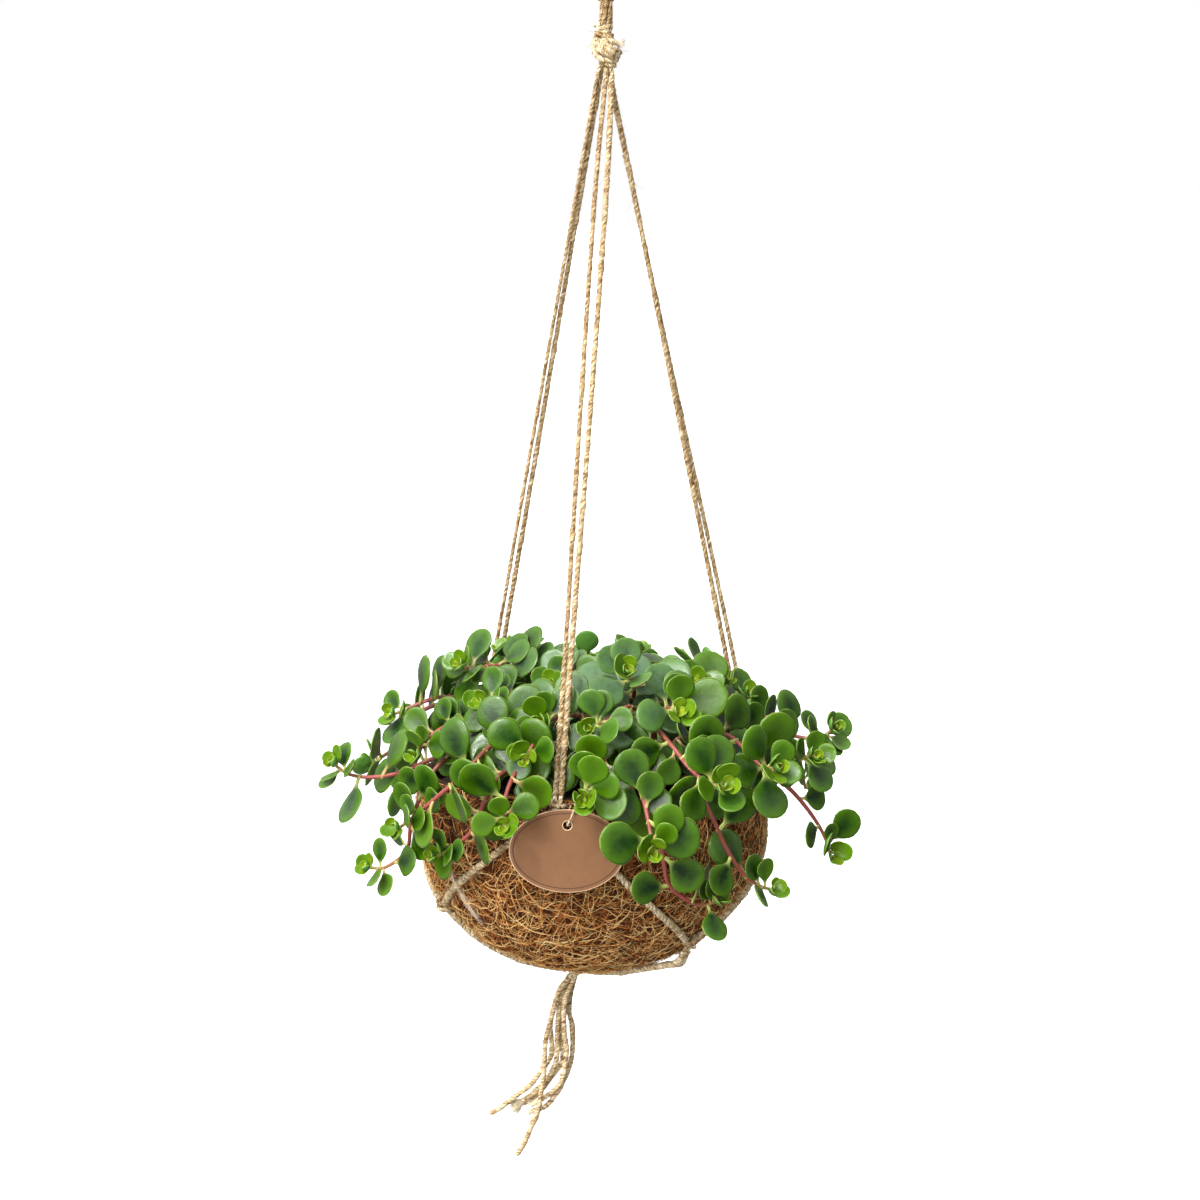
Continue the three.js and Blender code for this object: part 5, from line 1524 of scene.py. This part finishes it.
def fixed_forms():
    """The tag, the strands and the knots, which no leaf may meet."""
    rim = []
    for i in range(12):
        turn = math.pi * i / 6
        x, y = TAG_WIDTH / 2 * math.cos(turn), TAG_HEIGHT / 2 * math.sin(turn)
        rim += [(x, y, -0.5), (x, y, TAG_THICKNESS + 1.6)]
    normal = on_tag([(0, 0, 1)])[0] - np.array(TAG_PLACE, float)
    forms = [Form("tag", on_tag(rim), 0.6, [normal]), *rods("cord", on_tag(TIE_ROUTE), TIE / 2)]
    forms += front_clearing()
    half = CORD / 2 + 0.2
    for name in PAIRS:
        forms.append(Form("knot", [rim_knot_centre(name)], KNOT_REACH, []))
        for side in (-1, 1):
            forms += rods("cord", hanger_route(name, side), half)
    forms += [Form("knot", [side_knot_centre(name)], KNOT_REACH, []) for name in SIDE_KNOTS]
    for piece in NET:
        forms += rods("cord", net_route(*piece), half)
    return forms


def grow_leaf(stem, k, crowd):
    """The first of a leaf's tries that is clear of all others, or else clear of other stems."""
    if stem.length - leaf_habit(stem, k)[2] < BARE_BASE:
        return
    draw = random_source(SEED + 1000 * stem.key + k)
    draws = [draw(), draw(), draw(), draw()]
    fallback = None
    for attempt in range(LEAF_TRIES):
        pose = leaf_pose(stem, k, draws, attempt)
        points = leaf_corners(pose)
        if not clear_of_bowl(points):
            continue
        leaf = Form(stem.owner, points, 0, [pose[2], pose[1], pose[3]])
        near = crowd.near(leaf, LEAF_CLEARANCE)
        if any(o.owner != stem.owner for o in near):
            continue
        if all(len(o.points) == 2 for o in near):
            fallback = (leaf, pose)
            break
        fallback = fallback or (leaf, pose)
    if fallback:
        crowd.add(fallback[0])
        stem.leaves.append((k, fallback[1]))


FILL_CLEARANCE = 0.25
FILL_TRIES = 14
MOUND_RADIUS = 100                  # within it and above the foot the leaves stand close together
MOUND_FOOT = -500
OPEN_FILLERS = 0.3                  # the share of further leaves that grow elsewhere
BARE_STEMS = ("bottom_right", "low_right", "far_low_right")
HEART_SIZES = (0.62, 0.66, 0.74, 0.8, 0.86, 0.92)


def grow_filler(stem, k, crowd, rng):
    """A further leaf between two of the others, only where it is clear of everything."""
    back = leaf_habit(stem, k)[2]
    if stem.length - back < BARE_BASE * 0.5:
        return
    place, _ = stem.at(stem.length - back)
    bushy = math.hypot(place[0], place[1]) < MOUND_RADIUS and place[2] > MOUND_FOOT
    if k > TIP_LEAVES and not bushy and (k % 1 != 0.5 or rng.random() > OPEN_FILLERS):
        return
    for _ in range(FILL_TRIES):
        draws = rng.random(4)
        pose = leaf_pose(stem, k, [draws[0] * 12, draws[1], draws[2], draws[3] - 0.6], 0)
        points = leaf_corners(pose)
        if not clear_of_bowl(points):
            continue
        leaf = Form(stem.owner, points, 0, [pose[2], pose[1], pose[3]])
        near = [o for o in crowd.near(leaf, FILL_CLEARANCE, FILL_CLEARANCE)
                if len(o.points) != 2 or o.owner != stem.owner]
        if not near:
            crowd.add(leaf)
            stem.leaves.append((k, pose))
            return


def grow_heart(stem, rng):
    """The tiny curled leaves at the very tip, which the CAD part leaves out."""
    for j, size in enumerate(HEART_SIZES):
        k = j * FIRST_LEAF / len(HEART_SIZES)
        share = (size - LEAF_LEAST) / LEAF_RANGE
        draws = [0.5 + GOLDEN_ANGLE * (j - k) / 30, rng.random(), 0.5, share]
        stem.leaves.append((k, leaf_pose(stem, k, draws, 0)))


# ---- Leaf and stem meshes ----

LEAF_STATIONS = np.array([-0.03, 0.08, 0.18, 0.27, 0.36, 0.46, 0.58, 0.70, 0.81, 0.90, 0.965, 1.0])
LEAF_COLUMNS = np.array([-1, -0.86, -0.5, 0, 0.5, 0.86, 1])
PETIOLE = 0.042                     # half the width of a leaf's stalk, as a share of its length
BLADE_WIDE = 0.385
BLADE_MIDDLE = 0.635
YOUNG_CUP = 1.8


def blade_width(u):
    """Half the width of a leaf, as a share of its length, at a share of it."""
    low = np.clip((BLADE_MIDDLE - u) / (BLADE_MIDDLE - 0.17), 0, 1)
    high = np.clip((u - BLADE_MIDDLE) / (1.008 - BLADE_MIDDLE), 0, 1)
    width = BLADE_WIDE * np.where(u < BLADE_MIDDLE, (1 - low**2) ** 1.3, np.sqrt(1 - high**2))
    stalk = PETIOLE * (1 + 0.5 * np.exp(-((u / 0.05) ** 2))) * (u < BLADE_MIDDLE)
    return np.maximum(width, stalk)


def leaf_grid():
    """The faces of one leaf: an upper and a lower skin that share their rim."""
    rows, columns = len(LEAF_STATIONS), len(LEAF_COLUMNS)
    upper = np.arange(rows * columns).reshape(rows, columns)
    lower = upper.copy()
    count = rows * columns
    for c in range(1, columns - 1):
        lower[:, c] = count + np.arange(rows)
        count += rows
    faces = []
    for r in range(rows - 1):
        for c in range(columns - 1):
            faces.append([upper[r, c], upper[r, c + 1], upper[r + 1, c + 1], upper[r + 1, c]])
            faces.append([lower[r, c], lower[r + 1, c], lower[r + 1, c + 1], lower[r, c + 1]])
    for r, turn in ((0, -1), (rows - 1, 1)):
        rim = [*upper[r], *lower[r, 1:-1][::-1]]
        faces.append(rim[::turn])
    return [[f for f in faces if len(f) == 4], [f for f in faces if len(f) > 4]]


LEAF_FACES = leaf_grid()

CROWN = np.array([10, -50, -440])   # where up-facing leaves get a painted bluish sheen for the sky's reflection, and how far round it
CROWN_REACH = np.array([60, 70, 45])


def add_leaf(shape, k, pose, rng):
    """A fleshy leaf with a stalk: a dished or domed blade, thinner at its rim and a little wavy."""
    place, along, face, across, length = pose
    u = LEAF_STATIONS[:, None]
    v = LEAF_COLUMNS[None, :]
    full = np.ones((len(LEAF_STATIONS), len(LEAF_COLUMNS)))
    wave = 1 + 0.035 * np.sin(5 * u + rng.uniform(0, 6)) * np.sign(v)
    skew = rng.normal(0, 0.02)
    y = (v * blade_width(u) * wave + skew * np.sin(math.pi * np.clip(u, 0, 1))) * length
    dish = np.clip(1 - ((u - LEAF_MIDDLE) / 0.42) ** 2, 0, 1)
    fold = 0.025 * rng.random()
    droop = rng.normal(-0.01, 0.035) * np.clip(u - 0.5, 0, 1) ** 2 * 4
    mature = min(1, length / LEAF_LENGTH)
    cup = LEAF_CUP * (rng.uniform(-0.9, 0.5) * mature + (1 + YOUNG_CUP) * (1 - mature))
    middle = (-cup * (1 - v**2) * dish - fold * (1 - np.abs(v)) * dish + droop) * length
    thick = LEAF_THICKNESS * (0.45 + 0.4 * mature) * (0.6 + 0.4 * np.clip(dish * 2, 0, 1))
    stalk = np.clip((0.3 - u) / 0.2, 0, 1)
    thick = thick * (1 - stalk) + np.minimum(2 * PETIOLE * length, 2.2) * 0.8 * stalk
    plump = np.sqrt(np.clip(1 - v**4, 0, 1)) * thick / 2 * np.clip((1.02 - u) / 0.06, 0.25, 1)
    top, low = (np.stack([u * length * full, y, middle + sign * plump], -1) for sign in (1, -1))
    low = low[:, 1:-1].transpose(1, 0, 2).reshape(-1, 3)
    points = place + np.vstack([top.reshape(-1, 3), low]) @ np.array([along, across, face])
    beyond = np.sqrt(np.clip(((u - BLADE_MIDDLE) / 0.37) ** 2, 0, 1)) * (u > BLADE_MIDDLE)
    edge = np.maximum(np.abs(v) * full, beyond * full)
    alongs = np.concatenate([(u * full).ravel(), np.tile(LEAF_STATIONS, len(LEAF_COLUMNS) - 2)])
    edges = np.concatenate([edge.ravel(), edge[:, 1:-1].T.ravel()])
    sides = np.concatenate([np.ones(full.size), np.zeros(len(low))])
    old = min(1, k / 7)
    # Painted sky reflection: the sheen grows near the crown and on leaves that face up.
    crown = np.clip(1 - np.linalg.norm((place + along * length * 0.6 - CROWN) / CROWN_REACH), 0, 1) ** 0.5
    sky_sheen = 0.75 * crown * np.clip(face[2] + 0.5, 0, 1) + 0.1 * face[2] + rng.normal(0, 0.04)
    tone = np.clip(rng.normal(0.5, 0.24), 0, 1)
    shape.add(points, LEAF_FACES, 0,
              leaf_place=np.column_stack([alongs, edges, sides]),
              leaf_kind=np.array([old, tone, old * np.clip(sky_sheen, 0, 0.7)]),
              grain=np.zeros((len(points), 3)), tone=np.zeros(len(points)))


def add_stem(shape, stem, rng):
    """A stem that thins to its tip. Its tone runs from 0 at the foot to 1 at the tip."""
    path = smooth_path(stem.points, 3.0)
    share = run_of(path) / run_of(path)[-1]
    radius = STEM / 2 * (1.0 - 0.38 * share**3) * (1 + 0.05 * wobble(share * 100, rng, 5, 6, 18))
    first = shape.count
    add_tube(shape, path, radius, 10, tone=share, skin=1)
    for key in ("leaf_place", "leaf_kind"):
        shape.values.setdefault(key, []).append(np.zeros((shape.count - first, 3)))


def make_foliage():
    """Grows all leaves, those nearest the tips first, and makes one piece of each shoot."""
    shoots = [*SHOOTS, *(back_shoot(azimuth, i) for i, azimuth in enumerate(BACK_AZIMUTHS))]
    stems = [Stem(shoot, route, branch, index)
             for index, shoot in enumerate(shoots) for branch, route in enumerate(shoot[3])]
    stem_forms = [rod for stem in stems for rod in rods(stem.owner, stem.places[::5], STEM / 2 + 0.2)]
    crowd = Crowd([*fixed_forms(), *stem_forms])
    most = math.ceil(max(stem.length for stem in stems) / LEAF_SPACING) + TIP_LEAVES
    for k in range(FIRST_LEAF, most):
        for stem in stems:
            grow_leaf(stem, k, crowd)
    rng = seeded(1200)
    for stem in stems:
        grow_heart(stem, rng)
    leafy = [stem for stem in stems if stem.owner not in BARE_STEMS]
    for part, first in ((0.5, FIRST_LEAF), (0.25, TIP_LEAVES), (0.75, TIP_LEAVES)):
        for k in range(first, most):
            for stem in leafy:
                grow_filler(stem, k + part, crowd, rng)
    for name, *_ in shoots:
        shape = Shape()
        for stem in (s for s in stems if s.owner == name):
            add_stem(shape, stem, rng)
            for k, pose in stem.leaves:
                add_leaf(shape, k, pose, rng)
        show(shape.make(f"foliage_{name}", [LEAF, STEM_SKIN]), "leaf", f"shoot_{name}")


make_foliage()

# ---- Studio ----

LOW_LIGHT, HIGH_LIGHT = 0.22, 1.25
SKYWARD = (-0.35, -0.1, 0.93)       # the surroundings are brightest there
SOFTBOX = (-0.5, -0.62, 0.62)
SOFTBOX_LIGHT = 6.0
LAMPS = {                           # strength, angle in degrees and the way it shines
    "key": (1.35, 6, (0.5, 0.7, -1.0)),
    "fill": (1.5, 50, (0.3, 0.9, 0.35)),
    "back": (1.0, 50, (-0.2, -0.9, -0.3)),
}
FLOOR_SIZE = 40
FLOOR_Z = -1.3
FLOOR_SHADES = [(0.3, 0.9686, 0.9686, 0.9686), (0.7, 0.9777, 0.9777, 0.9777)]


def make_world(scene):
    """Surroundings that look white, and light the part more from above and most from a softbox."""
    scene.view_settings.view_transform = "Standard"
    scene.world = bpy.data.worlds.new("studio")
    scene.world.use_nodes = True
    nodes = Nodes(scene.world.node_tree)
    seen = nodes.node("ShaderNodeTexCoord", {}).outputs["Generated"]

    def towards(way, low, high, start, end, curve):
        """Light that grows from start to end as a direction comes nearer to the given one."""
        near = nodes.node("ShaderNodeVectorMath", {0: seen, 1: way}, operation="DOT_PRODUCT")
        return nodes.span(near.outputs["Value"], low, high, start, end, curve)

    sky = towards(SKYWARD, -0.2, 1.0, LOW_LIGHT, HIGH_LIGHT, "LINEAR")
    box = towards(Vector(SOFTBOX).normalized(), 0.8, 0.94, 0.0, SOFTBOX_LIGHT, "SMOOTHSTEP")
    light = nodes.maths("ADD", sky, box)
    to_camera = nodes.node("ShaderNodeLightPath", {}).outputs["Is Camera Ray"]
    strength = nodes.node("ShaderNodeMix", {0: to_camera, 2: light, 3: 1.0}).outputs[0]
    background = nodes.tree.nodes["Background"]
    nodes.put(background.inputs["Color"], (1, 1, 1))
    nodes.put(background.inputs["Strength"], strength)


def make_lamps(scene):
    """A key from the upper left front, a wide fill from the front and below, and a wide one from behind."""
    for name, (strength, angle, way) in LAMPS.items():
        sun = bpy.data.lights.new(name, "SUN")
        sun.energy = strength
        sun.angle = math.radians(angle)
        light = bpy.data.objects.new(name, sun)
        light.rotation_euler = Vector(way).to_track_quat("-Z", "Y").to_euler()
        light.visible_glossy = name == "key"
        scene.collection.objects.link(light)


def make_floor(scene):
    """A pale floor, seen by the camera alone. It keeps no light from the part."""
    grid = bmesh.new()
    bmesh.ops.create_grid(grid, x_segments=8, y_segments=8, size=FLOOR_SIZE)
    mesh = bpy.data.meshes.new("floor")
    grid.to_mesh(mesh)
    grid.free()
    paint = Paint("floor")
    cloud = paint.noise(paint.place(), 0.002, 2.0)
    mesh.materials.append(paint.finish(paint.ramp(cloud, FLOOR_SHADES), 0.9))
    plane = bpy.data.objects.new("floor", mesh)
    plane.location.z = FLOOR_Z
    plane.visible_diffuse = False
    plane.visible_glossy = False
    plane.visible_shadow = False
    scene.collection.objects.link(plane)


make_world(bpy.context.scene)
make_lamps(bpy.context.scene)
make_floor(bpy.context.scene)
